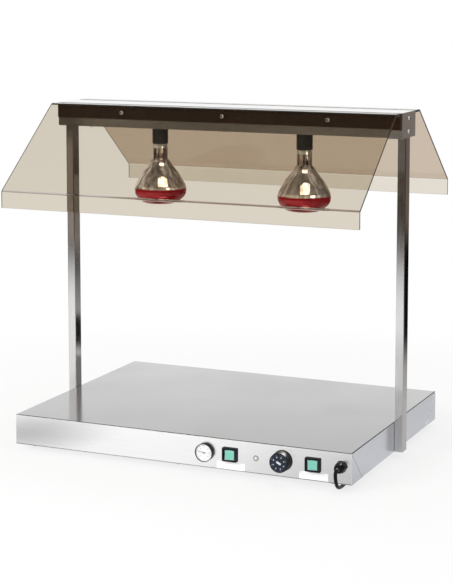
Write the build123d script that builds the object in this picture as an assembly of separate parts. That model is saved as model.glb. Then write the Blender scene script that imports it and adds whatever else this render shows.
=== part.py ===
from build123d import *
import os
from math import atan, ceil, cos, hypot, pi, radians, sin, sqrt, tan

# Heated serving base with a lamp gantry over it. Sizes are in millimetres.
# +X is right, +Y is to the rear, +Z is up. The origin is on the table, under the middle of the base.

# Base cabinet
base_width = 830.0
base_depth = 610.0
base_height = 70.0
base_sheet = 1.2
base_edge_radius = 2.0
return_flange = 14.0
corner_tab_reach = 68.0
corner_tab_sheet = 0.8
plate_sheet = 1.0
plate_inset = 3.0
plate_screw_inset = 45.0

# Rubber feet
foot_height = 15.0
foot_top_radius = 17.0
foot_bottom_radius = 14.0
foot_inset = 85.0
foot_recess_depth = 6.0

# Fasteners: M5 bolts, screws and nuts, and small sheet screws
thread_radius = 2.5
thread_gap = 0.1
hole_gap = 0.3
nut_width = 8.0
nut_height = 4.0
dome_radius = 4.75
dome_height = 3.0
bolt_head_width = 8.0
bolt_head_height = 3.5
thread_past_nut = 0.4
sheet_screw_radius = 1.75
sheet_screw_length = 5.0
sheet_head_radius = 3.4
sheet_head_height = 2.2

# Uprights
upright_width = 20.0
upright_depth = 30.0
upright_wall = 1.5
upright_corner_radius = 2.0
upright_bolt_low = 20.0
upright_bolt_high = 52.0
upright_plug_depth = 12.0
slide_gap = 0.2

# Gantry box
gantry_rise = 724.0
gantry_depth = 96.0
gantry_height = 58.0
gantry_sheet = 1.2
gantry_edge_radius = 1.5
gantry_return = 12.0
cap_flange = 10.0
cap_screw_spacing = 30.0
cover_screw_reach = 349.0

# Acrylic food guards
guard_sheet = 5.0
guard_end_gap = 1.0
guard_flange = 38.0
guard_strip = 37.0
guard_slope_run = 237.0
guard_slope_drop = 186.0
guard_lip = 39.0
guard_inner_bend = 3.0
guard_screw_reach = 262.0
guard_screw_drop = 22.0
gasket_sheet = 2.0
gasket_height = 35.0

# Lamp holders and reflector lamps
lamp_reach = 185.5
holder_radius = 19.0
holder_wall = 2.0
holder_drop = 39.0
holder_rise = 12.0
holder_flange_radius = 26.0
holder_flange_sheet = 2.0
holder_screw_circle = 22.6
holder_cable_radius = 4.0
socket_wall = 3.2
socket_bore_depth = 24.0
lamp_radius = 62.5
lamp_drop = 141.5
lamp_neck_radius = 16.5
lamp_neck_length = 37.0
lamp_seal_radius = 12.2
lamp_cone_angle = 33.5
lamp_face_angle = 43.5
lamp_neck_bend = 9.0
lamp_belly_bend = 15.0
lamp_face_bend = 26.0
lamp_glass = 1.2
lamp_cap_radius = 13.2
lamp_cap_wall = 0.6
lamp_cap_length = 26.0
lamp_seal_length = 8.0
filament_radius = 14.0
filament_depth = 78.0

# Front controls: distance right of the middle, height above the lower edge of the base
thermometer_place = (71.0, 35.5)
left_switch_place = (132.5, 37.0)
pilot_place = (193.0, 34.5)
thermostat_place = (257.0, 38.0)
right_switch_place = (328.0, 37.0)
gland_place = (393.0, 40.0)

# Dial thermometer
thermometer_radius = 20.8
thermometer_reach = 12.0
thermometer_barrel_radius = 18.0
thermometer_barrel_depth = 20.0
thermometer_rim = 1.4
dial_sheet = 0.6
dial_set_back = 3.8
lens_sheet = 1.2
lens_set_back = 0.5
lens_ledge = 0.5
needle_length = 15.0
needle_tail = 4.5
needle_width = 1.6
needle_sheet = 0.5
needle_hub_radius = 1.9
needle_rest_angle = 169.0
spindle_radius = 1.0
running_gap = 0.05

# Rocker switches
switch_width = 35.5
switch_height = 31.0
switch_reach = 10.5
switch_corner_radius = 2.0
switch_body_width = 32.4
switch_body_height = 28.0
switch_body_depth = 26.0
switch_terminal_length = 8.0
switch_terminal_width = 6.3
switch_terminal_sheet = 0.8
rocker_width = 27.0
rocker_height = 24.6
rocker_shoulder_height = 6.6
rocker_crown_width = 20.6
rocker_face_height = 9.2
rocker_dish = 0.9
rocker_foot_width = 15.0
rocker_foot_depth = 3.0
rocker_pivot_height = 3.0
rocker_pivot_radius = 1.5
rocker_pivot_stub = 0.9
rocker_tilt = 7.0
rocker_side_gap = 0.3
rocker_swing_gap = 1.2

# Pilot lamp
pilot_ring_radius = 6.5
pilot_ring_height = 2.4
pilot_barrel_radius = 4.8
pilot_barrel_depth = 22.0
pilot_lens_radius = 4.4
pilot_lens_height = 2.2
pilot_lens_seat = 1.2

# Thermostat and its knob
thermostat_width = 44.0
thermostat_depth = 30.0
thermostat_screw_spacing = 28.0
thermostat_screw_radius = 2.0
thermostat_screw_length = 8.0
thermostat_head_radius = 3.5
thermostat_head_height = 2.0
shaft_radius = 3.0
shaft_bush_depth = 10.0
knob_radius = 23.4
knob_reach = 28.0
knob_stand_off = 3.0
knob_taper = 1.6
knob_wall = 3.0
knob_front = 4.0
knob_edge_radius = 1.6
knob_face_radius = 20.0
knob_face_recess = 0.6
knob_hub_radius = 6.0
knob_grip_depth = 14.0

# Capillary probes under the hot plate
probe_radius = 3.0
probe_length = 90.0
capillary_radius = 1.0
capillary_bend = 8.0
probe_lead = 40.0
probe_set_back = 110.0
probe_gap = 0.2
probe_lift = 12.0

# Legend plates
legend_width = 68.0
legend_height = 17.0
legend_sheet = 0.6
legend_edge_gap = 2.0

# Cable gland
gland_thread_radius = 10.0
gland_thread_length = 12.0
gland_flat_width = 24.0
gland_hex_height = 5.0
gland_nut_radius = 12.4
gland_nose_radius = 8.0
gland_reach = 29.0
gland_nose_length = 10.0
lock_nut_height = 5.0

# Heating element, clamps and insulation
element_radius = 4.0
element_runs = 8
element_width = 660.0
element_front = 155.0
element_back = 50.0
element_bend_radius = 40.0
element_seat_gap = 0.2
clamp_sheet = 2.0
clamp_width = 30.0
clamp_foot = 22.0
clamp_end_gap = 18.0
clamp_spacing = 170.0
insulation_side_gap = 42.0
insulation_front_gap = 140.0
insulation_back_gap = 20.0
insulation_thickness = 25.0

# Terminal block and wiring
block_length = 60.0
block_depth = 24.0
block_height = 22.0
block_gland_gap = 33.0
block_set_back = 55.0
loom_radius = 3.5
branch_radius = 1.8
branch_bend = 6.0
lamp_cable_radius = 2.5
lamp_cable_bend = 6.0
lamp_cable_height = 36.0
lamp_cable_side_gap = 22.0
lamp_cable_drop = 12.0

# Mains cord: exit to coil as points, then a coil, a tie and a plug
cord_radius = 4.0
cord_route = [
    (393.0, -334.0, 56.0),
    (393.0, -344.5, 56.0),
    (392.0, -353.0, 47.5),
    (390.5, -353.5, 30.0),
    (389.0, -344.5, 14.2),
    (388.0, -327.0, 4.0),
    (386.0, -290.0, 4.0),
    (381.0, -222.0, 4.0),
    (377.0, -125.0, 4.0),
    (378.0, -20.0, 4.0),
    (383.5, 82.0, 4.0),
    (386.5, 178.0, 4.0),
    (387.0, 258.0, 4.0),
    (384.0, 314.0, 5.8),
    (384.0, 352.0, 5.8),
]
coil_radius = 50.0
coil_pitch = 8.7
coil_step = 8.7
coil_whole_turns = 4
tie_width = 10.0
tie_sheet = 1.2
tie_gap = 0.6
plug_width = 36.0
plug_length = 42.0
plug_neck_length = 38.0
plug_neck_radius = 4.6
plug_neck_wide = 8.5
plug_corner_radius = 7.0
pin_radius = 2.4
pin_length = 19.0
pin_spacing = 19.0

# Places worked out from the sizes above
side_x = base_width / 2
front_y = -base_depth / 2
back_y = base_depth / 2
base_bottom = foot_height + plate_sheet
base_top = base_bottom + base_height
inner_top = base_top - base_sheet
upright_out = side_x + upright_width
upright_middle = side_x + upright_width / 2
gantry_bottom = base_bottom + gantry_rise
gantry_top = gantry_bottom + gantry_height
cover_top = gantry_bottom + gantry_sheet
upright_top = gantry_top - 2 * gantry_sheet - 2 * slide_gap
gantry_middle = (gantry_bottom + gantry_top) / 2
guard_face = gantry_depth / 2 + gasket_sheet
guard_length = 2 * (upright_out - guard_end_gap)
holder_bottom = gantry_bottom - holder_drop
holder_top = cover_top + holder_rise
lamp_cable_z = holder_top + lamp_cable_drop
screw_hole = thread_radius + hole_gap
nut_bore = thread_radius + thread_gap
sheet_hole = sheet_screw_radius + thread_gap


def block(x, y, z):
    """A box between low and high limits on each axis."""
    limits = (x, y, z)
    middle = [(low + high) / 2 for low, high in limits]
    size = [high - low for low, high in limits]
    return Pos(*middle) * Box(*size)


def disc(radius, low, high):
    """A cylinder about the local Z axis between two heights."""
    grounded = (Align.CENTER, Align.CENTER, Align.MIN)
    return Pos(0, 0, low) * Cylinder(radius, high - low, align=grounded)


def turned(corners):
    """A solid of revolution about the local Z axis from corners of radius and height."""
    return revolve(Plane.XZ * make_face(Polyline(*corners, close=True)), Axis.Z)


def hexagon(width, low, high):
    """A hexagonal prism, width across its flats."""
    outline = RegularPolygon(width / 2, 6, major_radius=False)
    return Pos(0, 0, low) * extrude(outline, high - low)


def rounded_block(width, height, low, high, radius):
    """A block along local Z with rounded long corners."""
    return Pos(0, 0, low) * extrude(RectangleRounded(width, height, radius), high - low)


def seat(shape, point, outward):
    """A shape moved so that its local origin is at a point and its Z axis points outward."""
    return Plane(origin=point, z_dir=outward) * shape


def on_front(place):
    """The plane of the front panel at a control: X right, Y up, Z towards the user."""
    across, up = place
    origin = (across, front_y, base_bottom + up)
    return Plane(origin=origin, x_dir=(1, 0, 0), z_dir=(0, -1, 0))


def beside(points, distance):
    """The corners of the line that runs at a distance on the right of another."""
    normals = []
    for (ax, ay), (bx, by) in zip(points, points[1:]):
        length = hypot(bx - ax, by - ay)
        normals.append(((by - ay) / length, (ax - bx) / length))
    pairs = zip(points, [normals[0]] + normals, normals + [normals[-1]])
    corners = []
    for (x, y), (ax, ay), (bx, by) in pairs:
        share = distance / (1 + ax * bx + ay * by)
        corners.append((x + share * (ax + bx), y + share * (ay + by)))
    return corners


def bent_section(points, thickness, radii):
    """A sheet's section: a line with rounded corners, thickened on its right."""
    other = beside(points, thickness)
    other_radii = []
    for a, b, c, radius in zip(points, points[1:], points[2:], radii):
        left_turn = (b[0] - a[0]) * (c[1] - b[1]) > (b[1] - a[1]) * (c[0] - b[0])
        other_radii.append(radius + thickness if left_turn else radius - thickness)
    near = FilletPolyline(*points, radius=radii)
    far = FilletPolyline(*other, radius=other_radii)
    ends = [Line(points[0], other[0]), Line(points[-1], other[-1])]
    return make_face([*near.edges(), *far.edges(), *ends])


def tube_along(points, radius, bend):
    """A round cable of straight runs joined by tangent arcs of one radius or a list of radii."""
    path = FilletPolyline(*points, radius=bend)
    start = Plane(origin=points[0], z_dir=Vector(*points[1]) - Vector(*points[0]))
    return sweep(start * Circle(radius), path=path)


def both_sides(right):
    """A right-hand piece and its mirror image on the left."""
    return [mirror(right, Plane.YZ), right]


def hex_nut():
    """An M5 nut that sits below its local origin."""
    return hexagon(nut_width, -nut_height, 0) - disc(nut_bore, -nut_height, 0)


def dome_screw(grip):
    """An M5 dome-head screw, head above its local origin, shank down through the grip and a nut."""
    ball = (dome_radius**2 + dome_height**2) / (2 * dome_height)
    dome = Pos(0, 0, dome_height - ball) * Sphere(ball) & disc(2 * dome_radius, 0, dome_height)
    return dome + disc(thread_radius, -grip - nut_height - thread_past_nut, 0)


def sheet_screw(length):
    """A pan-head sheet screw, head above its local origin."""
    head = disc(sheet_head_radius, 0, sheet_head_height)
    head = fillet(head.edges().sort_by(Axis.Z)[-1], sheet_head_height / 2)
    return head + disc(sheet_screw_radius, -length, 0)


# Fastener places
foot_spots = [
    (across * (side_x - foot_inset), along * (back_y - foot_inset))
    for across in (-1, 1)
    for along in (-1, 1)
]
plate_screw_y = back_y - return_flange / 2
plate_screw_x = side_x - return_flange / 2
plate_screw_spots = [
    (across * (side_x - plate_screw_inset), along * plate_screw_y)
    for across in (-1, 0, 1)
    for along in (-1, 1)
] + [(-plate_screw_x, 0), (plate_screw_x, 0)]
cover_screw_y = gantry_depth / 2 - gantry_return / 2
cover_screw_spots = [
    (across * cover_screw_reach, along * cover_screw_y)
    for across in (-1, 0, 1)
    for along in (-1, 1)
]
bolt_heights = [base_bottom + upright_bolt_low, base_bottom + upright_bolt_high]
cap_screw_heights = [gantry_middle + along * cap_screw_spacing / 2 for along in (-1, 1)]
guard_screw_z = gantry_top - guard_screw_drop
guard_screw_spots = [across * guard_screw_reach for across in (-1, 0, 1)]
lamp_cable_in_z = base_bottom + lamp_cable_height


def make_top_cover():
    """The hot plate: a sheet tray turned over, with folded corners and control holes."""
    tray = block((-side_x, side_x), (front_y, back_y), (base_bottom, base_top))
    tray = fillet(tray.faces().sort_by(Axis.Z)[-1].edges(), base_edge_radius)
    inside_x = side_x - base_sheet
    inside_y = back_y - base_sheet
    above_flange = base_bottom + base_sheet
    tray -= block((-inside_x, inside_x), (-inside_y, inside_y), (above_flange, inner_top))
    mouth_x = side_x - return_flange
    mouth_y = back_y - return_flange
    tray -= block((-mouth_x, mouth_x), (-mouth_y, mouth_y), (base_bottom, above_flange))
    for across in (-1, 1):
        for along in (-1, 1):
            corner = [
                (along * back_y, base_top - base_edge_radius),
                (along * back_y, base_bottom),
                (along * (back_y - corner_tab_reach), base_bottom),
            ]
            tab = extrude(Plane.YZ * make_face(Polyline(*corner, close=True)), corner_tab_sheet)
            shift = side_x if across > 0 else -side_x - corner_tab_sheet
            tray += Pos(shift, 0, 0) * tab
    through = (-2 * base_sheet, base_sheet)
    tray -= on_front(thermometer_place) * disc(thermometer_barrel_radius + hole_gap, *through)
    for place in (left_switch_place, right_switch_place):
        wide = switch_body_width / 2 + hole_gap
        high = switch_body_height / 2 + hole_gap
        tray -= on_front(place) * block((-wide, wide), (-high, high), through)
    tray -= on_front(pilot_place) * disc(pilot_barrel_radius + hole_gap, *through)
    tray -= on_front(thermostat_place) * disc(shaft_radius + hole_gap, *through)
    for across in (-1, 1):
        spot = Pos(across * thermostat_screw_spacing / 2, 0, 0)
        hole = disc(thermostat_screw_radius + hole_gap, *through)
        tray -= on_front(thermostat_place) * spot * hole
    tray -= on_front(gland_place) * disc(gland_thread_radius + hole_gap, *through)
    for across in (-1, 1):
        for height in bolt_heights:
            wall = disc(screw_hole, -2 * base_sheet, base_sheet)
            tray -= seat(wall, (across * side_x, 0, height), (across, 0, 0))
    wall = disc(lamp_cable_radius + hole_gap, -2 * base_sheet, base_sheet)
    tray -= seat(wall, (side_x, 0, lamp_cable_in_z), (1, 0, 0))
    for x, y in plate_screw_spots:
        tray -= Pos(x, y, base_bottom) * disc(sheet_hole, 0, base_sheet)
    return tray


def make_bottom_plate():
    """The sheet that closes the base from below."""
    reach_x = side_x - plate_inset
    reach_y = back_y - plate_inset
    plate = block((-reach_x, reach_x), (-reach_y, reach_y), (foot_height, base_bottom))
    for x, y in foot_spots:
        plate -= Pos(x, y, foot_height) * disc(screw_hole, 0, plate_sheet)
    for x, y in plate_screw_spots:
        plate -= Pos(x, y, foot_height) * disc(sheet_screw_radius + hole_gap, 0, plate_sheet)
    return plate


def make_feet():
    """Four tapered rubber feet with a recess for the screw head."""
    foot = turned(
        [
            (0, 0),
            (foot_bottom_radius, 0),
            (foot_top_radius, foot_height),
            (0, foot_height),
        ]
    )
    foot -= disc(screw_hole, 0, foot_height)
    foot -= disc(dome_radius + 2 * hole_gap, 0, foot_recess_depth)
    return [Pos(x, y, 0) * foot for x, y in foot_spots]


def make_foot_screws():
    """Dome-head screws up through the feet, heads inside the recesses."""
    screw = dome_screw(foot_height - foot_recess_depth + plate_sheet)
    return [seat(screw, (x, y, foot_recess_depth), (0, 0, -1)) for x, y in foot_spots]


def make_sheet_screws():
    """Sheet screws under the base, under the gantry and in the holders' flanges."""
    screw = sheet_screw(sheet_screw_length)
    screws = [seat(screw, (x, y, foot_height), (0, 0, -1)) for x, y in plate_screw_spots]
    screws += [seat(screw, (x, y, gantry_bottom), (0, 0, -1)) for x, y in cover_screw_spots]
    short = sheet_screw(holder_flange_sheet + gantry_sheet)
    for along in (-1, 1):
        head = (lamp_reach, along * holder_screw_circle, cover_top + holder_flange_sheet)
        screws += both_sides(seat(short, head, (0, 0, 1)))
    return screws


def make_upright():
    """The right upright: a rectangular tube with bolt, screw and cable holes."""
    middle = Pos(upright_middle, 0, 0)
    tube = rounded_block(upright_width, upright_depth, base_bottom, upright_top, upright_corner_radius)
    bore_width = upright_width - 2 * upright_wall
    bore_depth = upright_depth - 2 * upright_wall
    bore_radius = upright_corner_radius / 2
    tube -= rounded_block(bore_width, bore_depth, base_bottom, upright_top, bore_radius)
    tube = middle * tube
    inner_wall = (-2 * upright_wall, upright_wall)
    for height in bolt_heights:
        tube -= seat(disc(screw_hole, *inner_wall), (side_x, 0, height), (-1, 0, 0))
    for height in cap_screw_heights:
        tube -= seat(disc(screw_hole, *inner_wall), (upright_out, 0, height), (1, 0, 0))
    return tube


def make_uprights():
    """Both uprights; the right one also lets the lamp cable in and out."""
    left, right = both_sides(make_upright())
    cable = disc(lamp_cable_radius + hole_gap, -2 * upright_wall, upright_wall)
    for height in (lamp_cable_in_z, lamp_cable_z):
        right -= seat(cable, (side_x, 0, height), (-1, 0, 0))
    return left, right


def make_upright_plugs():
    """Plastic plugs, flush in the lower ends of the uprights."""
    width = upright_width - 2 * upright_wall - 2 * slide_gap
    depth = upright_depth - 2 * upright_wall - 2 * slide_gap
    top = base_bottom + upright_plug_depth
    plug = rounded_block(width, depth, base_bottom, top, upright_corner_radius / 2)
    return both_sides(Pos(upright_middle, 0, 0) * plug)


def make_upright_bolts():
    """Hex bolts from inside the base through the skirt into the uprights."""
    grip = base_sheet + upright_wall
    bolt = hexagon(bolt_head_width, 0, bolt_head_height)
    bolt += disc(thread_radius, -grip - nut_height - thread_past_nut, 0)
    bolts = []
    for height in bolt_heights:
        bolts += both_sides(seat(bolt, (side_x - base_sheet, 0, height), (-1, 0, 0)))
    return bolts


def make_dome_screws():
    """Dome-head screws of the food guards and of the end caps."""
    guard_grip = guard_sheet + gasket_sheet + gantry_sheet
    guard_screw = dome_screw(guard_grip)
    screws = []
    for x in guard_screw_spots:
        for along in (-1, 1):
            face = along * (guard_face + guard_sheet)
            screws.append(seat(guard_screw, (x, face, guard_screw_z), (0, along, 0)))
    cap_screw = dome_screw(gantry_sheet + upright_wall)
    for height in cap_screw_heights:
        screws += both_sides(seat(cap_screw, (upright_out + gantry_sheet, 0, height), (1, 0, 0)))
    return screws


def make_hex_nuts():
    """M5 nuts of the feet, upright bolts, end caps and guards."""
    nuts = [Pos(x, y, base_bottom + nut_height) * hex_nut() for x, y in foot_spots]
    for height in bolt_heights:
        inside = side_x + upright_wall + nut_height
        nuts += both_sides(seat(hex_nut(), (inside, 0, height), (1, 0, 0)))
    for height in cap_screw_heights:
        inside = upright_out - upright_wall
        nuts += both_sides(seat(hex_nut(), (inside, 0, height), (1, 0, 0)))
    for x in guard_screw_spots:
        for along in (-1, 1):
            inside = along * (gantry_depth / 2 - gantry_sheet)
            nuts.append(seat(hex_nut(), (x, inside, guard_screw_z), (0, along, 0)))
    return nuts


def make_gantry_channel():
    """The gantry's folded top, front and rear, open below between two return flanges."""
    half = gantry_depth / 2
    span = (-upright_out, upright_out)
    channel = block(span, (-half, half), (cover_top, gantry_top))
    top_edges = channel.faces().sort_by(Axis.Z)[-1].edges().filter_by(Axis.X)
    channel = fillet(top_edges, gantry_edge_radius)
    inside = half - gantry_sheet
    channel -= block(span, (-inside, inside), (cover_top + gantry_sheet, gantry_top - gantry_sheet))
    mouth = half - gantry_return
    channel -= block(span, (-mouth, mouth), (cover_top, cover_top + gantry_sheet))
    for x in guard_screw_spots:
        for along in (-1, 1):
            hole = disc(screw_hole, -2 * gantry_sheet, gantry_sheet)
            channel -= seat(hole, (x, along * half, guard_screw_z), (0, along, 0))
    for x, y in cover_screw_spots:
        channel -= Pos(x, y, cover_top) * disc(sheet_hole, 0, gantry_sheet)
    return channel


def make_gantry_cover():
    """The sheet under the gantry that carries the lamp holders."""
    half = gantry_depth / 2
    cover = block((-upright_out, upright_out), (-half, half), (gantry_bottom, cover_top))
    notch_y = upright_depth / 2 + hole_gap
    notch_x = side_x - hole_gap
    for across in (-1, 1):
        limits = sorted((across * notch_x, across * 2 * upright_out))
        cover -= block(limits, (-notch_y, notch_y), (gantry_bottom, cover_top))
        hole = disc(holder_radius + hole_gap, 0, gantry_sheet)
        cover -= Pos(across * lamp_reach, 0, gantry_bottom) * hole
        for along in (-1, 1):
            spot = Pos(across * lamp_reach, along * holder_screw_circle, gantry_bottom)
            cover -= spot * disc(sheet_hole, 0, gantry_sheet)
    for x, y in cover_screw_spots:
        cover -= Pos(x, y, gantry_bottom) * disc(sheet_screw_radius + hole_gap, 0, gantry_sheet)
    return cover


def make_end_cap():
    """The right end cap: a plate with flanges that reach into the channel."""
    half = gantry_depth / 2
    outside = (upright_out, upright_out + gantry_sheet)
    cap = block(outside, (-half, half), (gantry_bottom, gantry_top))
    outer = half - gantry_sheet - slide_gap
    roof = gantry_top - gantry_sheet - slide_gap
    floor = cover_top + gantry_sheet + slide_gap
    reach = (upright_out - cap_flange, upright_out)
    flange = block(reach, (-outer, outer), (floor, roof))
    inner = outer - gantry_sheet
    flange -= block(reach, (-inner, inner), (floor, roof - gantry_sheet))
    cap += flange
    for height in cap_screw_heights:
        hole = disc(screw_hole, -gantry_sheet, gantry_sheet)
        cap -= seat(hole, (upright_out + gantry_sheet, 0, height), (1, 0, 0))
    return cap


def make_rear_guard():
    """The rear food guard: flange, level strip, slope and lip bent from one sheet."""
    strip_edge = guard_face + guard_strip
    fold = strip_edge + guard_slope_run
    fold_z = gantry_top - guard_slope_drop
    line = [
        (guard_face, gantry_top - guard_flange),
        (guard_face, gantry_top),
        (strip_edge, gantry_top),
        (fold, fold_z),
        (fold, fold_z - guard_lip),
    ]
    outer_bend = guard_inner_bend + guard_sheet
    section = bent_section(line, guard_sheet, [outer_bend] * 3)
    guard = extrude(Plane.YZ * section, guard_length / 2, both=True)
    for x in guard_screw_spots:
        hole = disc(screw_hole, -2 * guard_sheet, guard_sheet)
        guard -= seat(hole, (x, guard_face + guard_sheet, guard_screw_z), (0, 1, 0))
    return guard


def make_rear_gasket():
    """The black strip between the rear guard's flange and the gantry."""
    low = gantry_top - guard_flange
    span = (-guard_length / 2, guard_length / 2)
    strip = block(span, (gantry_depth / 2, guard_face), (low, low + gasket_height))
    for x in guard_screw_spots:
        hole = disc(screw_hole, -2 * gasket_sheet, gasket_sheet)
        strip -= seat(hole, (x, guard_face, guard_screw_z), (0, 1, 0))
    return strip


def make_holder():
    """A lamp holder: a cup that hangs through the gantry's cover on its flange."""
    holder = disc(holder_radius, holder_bottom, holder_top)
    holder += disc(holder_flange_radius, cover_top, cover_top + holder_flange_sheet)
    bore = holder_radius - holder_wall
    holder -= disc(bore, holder_bottom, holder_top - holder_wall)
    holder -= disc(holder_cable_radius, holder_bottom, holder_top)
    for along in (-1, 1):
        spot = Pos(0, along * holder_screw_circle, cover_top)
        holder -= spot * disc(sheet_hole, 0, holder_flange_sheet)
    return holder


socket_top = holder_top - holder_wall
socket_radius = holder_radius - holder_wall - slide_gap
socket_bore = lamp_cap_radius + hole_gap
cap_top = socket_top - socket_wall - hole_gap
cap_bottom = cap_top - lamp_cap_length


def make_socket():
    """The ceramic socket inside a holder."""
    socket = disc(socket_radius, socket_top - socket_wall - socket_bore_depth, socket_top)
    socket -= disc(socket_bore, holder_bottom, socket_top - socket_wall)
    return socket - disc(holder_cable_radius, holder_bottom, holder_top)


def make_lamp_cap():
    """A lamp's screw cap, a cup with a contact button on top."""
    shoulder = lamp_cap_length / 4
    button = lamp_cap_radius / 3
    cap = turned(
        [
            (0, cap_bottom),
            (lamp_cap_radius, cap_bottom),
            (lamp_cap_radius, cap_top - shoulder),
            (button, cap_top - hole_gap),
            (button, cap_top),
            (0, cap_top),
        ]
    )
    return cap - disc(lamp_cap_radius - lamp_cap_wall, cap_bottom, cap_top - shoulder)


def make_bulb():
    """A reflector lamp's glass: neck, cone, belly and shallow face, hollow."""
    cone = radians(lamp_cone_angle)
    face = radians(lamp_face_angle)
    bulge = (sin(cone) + sin(face)) / sin(cone + face) - 1
    corner_radius = lamp_radius + lamp_belly_bend * bulge
    corner_z = holder_bottom - lamp_neck_length - (corner_radius - lamp_neck_radius) / tan(cone)
    face_z = holder_bottom - lamp_drop
    flat_radius = corner_radius - (corner_z - face_z) * tan(face)
    seal_bend = (lamp_neck_radius - lamp_seal_radius) / 2
    shoulder_z = cap_bottom - hole_gap
    line = [
        (lamp_seal_radius, cap_bottom + lamp_seal_length),
        (lamp_seal_radius, shoulder_z - seal_bend),
        (lamp_neck_radius, shoulder_z - 3 * seal_bend),
        (lamp_neck_radius, holder_bottom - lamp_neck_length),
        (corner_radius, corner_z),
        (flat_radius, face_z),
        (0, face_z),
    ]
    radii = [seal_bend, seal_bend, lamp_neck_bend, lamp_belly_bend, lamp_face_bend]
    return revolve(Plane.XZ * bent_section(line, lamp_glass, radii), Axis.Z)


def make_filament():
    """A lamp's glass stem with its ring of tungsten wire."""
    wire = lamp_glass / 2
    ring_z = holder_bottom - filament_depth
    stem_top = cap_bottom + lamp_seal_length
    stem_radius = lamp_seal_radius - lamp_glass - slide_gap
    pillar = stem_radius / 2
    foot_z = stem_top - stem_radius
    stem = turned(
        [
            (0, stem_top),
            (stem_radius, stem_top),
            (pillar, foot_z),
            (pillar, ring_z),
            (0, ring_z),
        ]
    )
    stem += Pos(0, 0, ring_z) * Torus(filament_radius, wire)
    spoke = disc(wire, 0, filament_radius)
    for way in ((1, 0, 0), (-1, 0, 0), (0, 1, 0), (0, -1, 0)):
        stem += seat(spoke, (0, 0, ring_z), way)
    return stem


lens_front = thermometer_reach - lens_set_back
lens_back = lens_front - lens_sheet
dial_front = thermometer_reach - dial_set_back
lens_radius = thermometer_radius - thermometer_rim
dial_radius = lens_radius - lens_ledge


def make_thermometer_case():
    """The thermometer's case: a rimmed cup in front of the panel and a barrel behind it."""
    case = disc(thermometer_radius, 0, thermometer_reach)
    case = fillet(case.edges().sort_by(Axis.Z)[-1], thermometer_rim / 3)
    case += disc(thermometer_barrel_radius, -thermometer_barrel_depth, 0)
    case -= disc(lens_radius, lens_back, thermometer_reach)
    case -= disc(dial_radius, dial_front - dial_sheet, thermometer_reach)
    case -= disc(spindle_radius + running_gap, -base_sheet, thermometer_reach)
    return on_front(thermometer_place) * case


def make_dial():
    """The thermometer's dial disc."""
    dial = disc(dial_radius - slide_gap, dial_front - dial_sheet, dial_front)
    dial -= disc(spindle_radius + running_gap, dial_front - dial_sheet, dial_front)
    return on_front(thermometer_place) * dial


def make_needle():
    """The thermometer's needle with its hub and spindle, pointing to its rest angle."""
    clear = hole_gap
    low = dial_front + clear
    half = needle_width / 2
    tip = half / 3
    outline = [
        (-needle_tail, -half),
        (needle_length, -tip),
        (needle_length, tip),
        (-needle_tail, half),
    ]
    blade = extrude(make_face(Polyline(*outline, close=True)), needle_sheet)
    pointer = Pos(0, 0, low + clear) * blade
    needle = pointer + disc(needle_hub_radius, low, lens_back - 2 * clear)
    needle += disc(spindle_radius, 0, low)
    return on_front(thermometer_place) * Rot(0, 0, needle_rest_angle) * needle


def make_thermometer_lens():
    """The thermometer's glass."""
    return on_front(thermometer_place) * disc(lens_radius - slide_gap, lens_back, lens_front)


pocket_x = rocker_width / 2 + rocker_swing_gap
pocket_y = rocker_height / 2 + rocker_side_gap
pocket_floor = rocker_pivot_height - 2 * rocker_pivot_radius - rocker_foot_depth - rocker_swing_gap


def make_switch_body(place):
    """A switch's frame and housing with a pocket and pivot holes for the rocker."""
    body = rounded_block(switch_width, switch_height, 0, switch_reach, switch_corner_radius)
    body = fillet(body.faces().sort_by(Axis.Z)[-1].outer_wire().edges(), switch_corner_radius / 2)
    half_x = switch_body_width / 2
    half_y = switch_body_height / 2
    body += block((-half_x, half_x), (-half_y, half_y), (-switch_body_depth, 0))
    body -= block((-pocket_x, pocket_x), (-pocket_y, pocket_y), (pocket_floor, switch_reach))
    pivot_end = pocket_y + rocker_pivot_stub
    pivot = disc(rocker_pivot_radius + running_gap, -pivot_end, pivot_end)
    body -= Pos(0, 0, rocker_pivot_height) * Rot(90, 0, 0) * pivot
    thick = switch_terminal_sheet / 2
    wide = switch_terminal_width / 2
    tip = -switch_body_depth - switch_terminal_length
    for across in (-1, 0, 1):
        blade_x = across * half_x / 2
        body += block((blade_x - thick, blade_x + thick), (-wide, wide), (tip, -switch_body_depth))
    return on_front(place) * body


def make_rocker(place):
    """A rocker with sloped sides and a dished face, tilted about its upright pivot to off."""
    half = rocker_width / 2
    high = rocker_height / 2
    crown = rocker_crown_width / 2
    foot = rocker_foot_width / 2
    foot_z = rocker_pivot_height - rocker_pivot_radius - rocker_foot_depth
    shoulder = half - rocker_swing_gap / 2
    top_z = rocker_face_height + rocker_dish
    level_section = [
        (-foot, foot_z),
        (foot, foot_z),
        (half, rocker_pivot_height),
        (shoulder, rocker_shoulder_height),
        (crown, top_z),
        (0, rocker_face_height),
        (-crown, top_z),
        (-shoulder, rocker_shoulder_height),
        (-half, rocker_pivot_height),
    ]
    upright_section = [
        (-high, foot_z),
        (high, foot_z),
        (high, rocker_shoulder_height),
        (crown, top_z),
        (-crown, top_z),
        (-high, rocker_shoulder_height),
    ]
    rocker = extrude(Plane.XZ * make_face(Polyline(*level_section, close=True)), high, both=True)
    rocker &= extrude(Plane.YZ * make_face(Polyline(*upright_section, close=True)), half, both=True)
    stub = high + rocker_side_gap + rocker_pivot_stub - slide_gap
    pivot = Pos(0, 0, rocker_pivot_height)
    rocker += pivot * Rot(90, 0, 0) * disc(rocker_pivot_radius, -stub, stub)
    tilt = pivot * Rot(0, rocker_tilt, 0) * Pos(0, 0, -rocker_pivot_height)
    return on_front(place) * tilt * rocker


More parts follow.
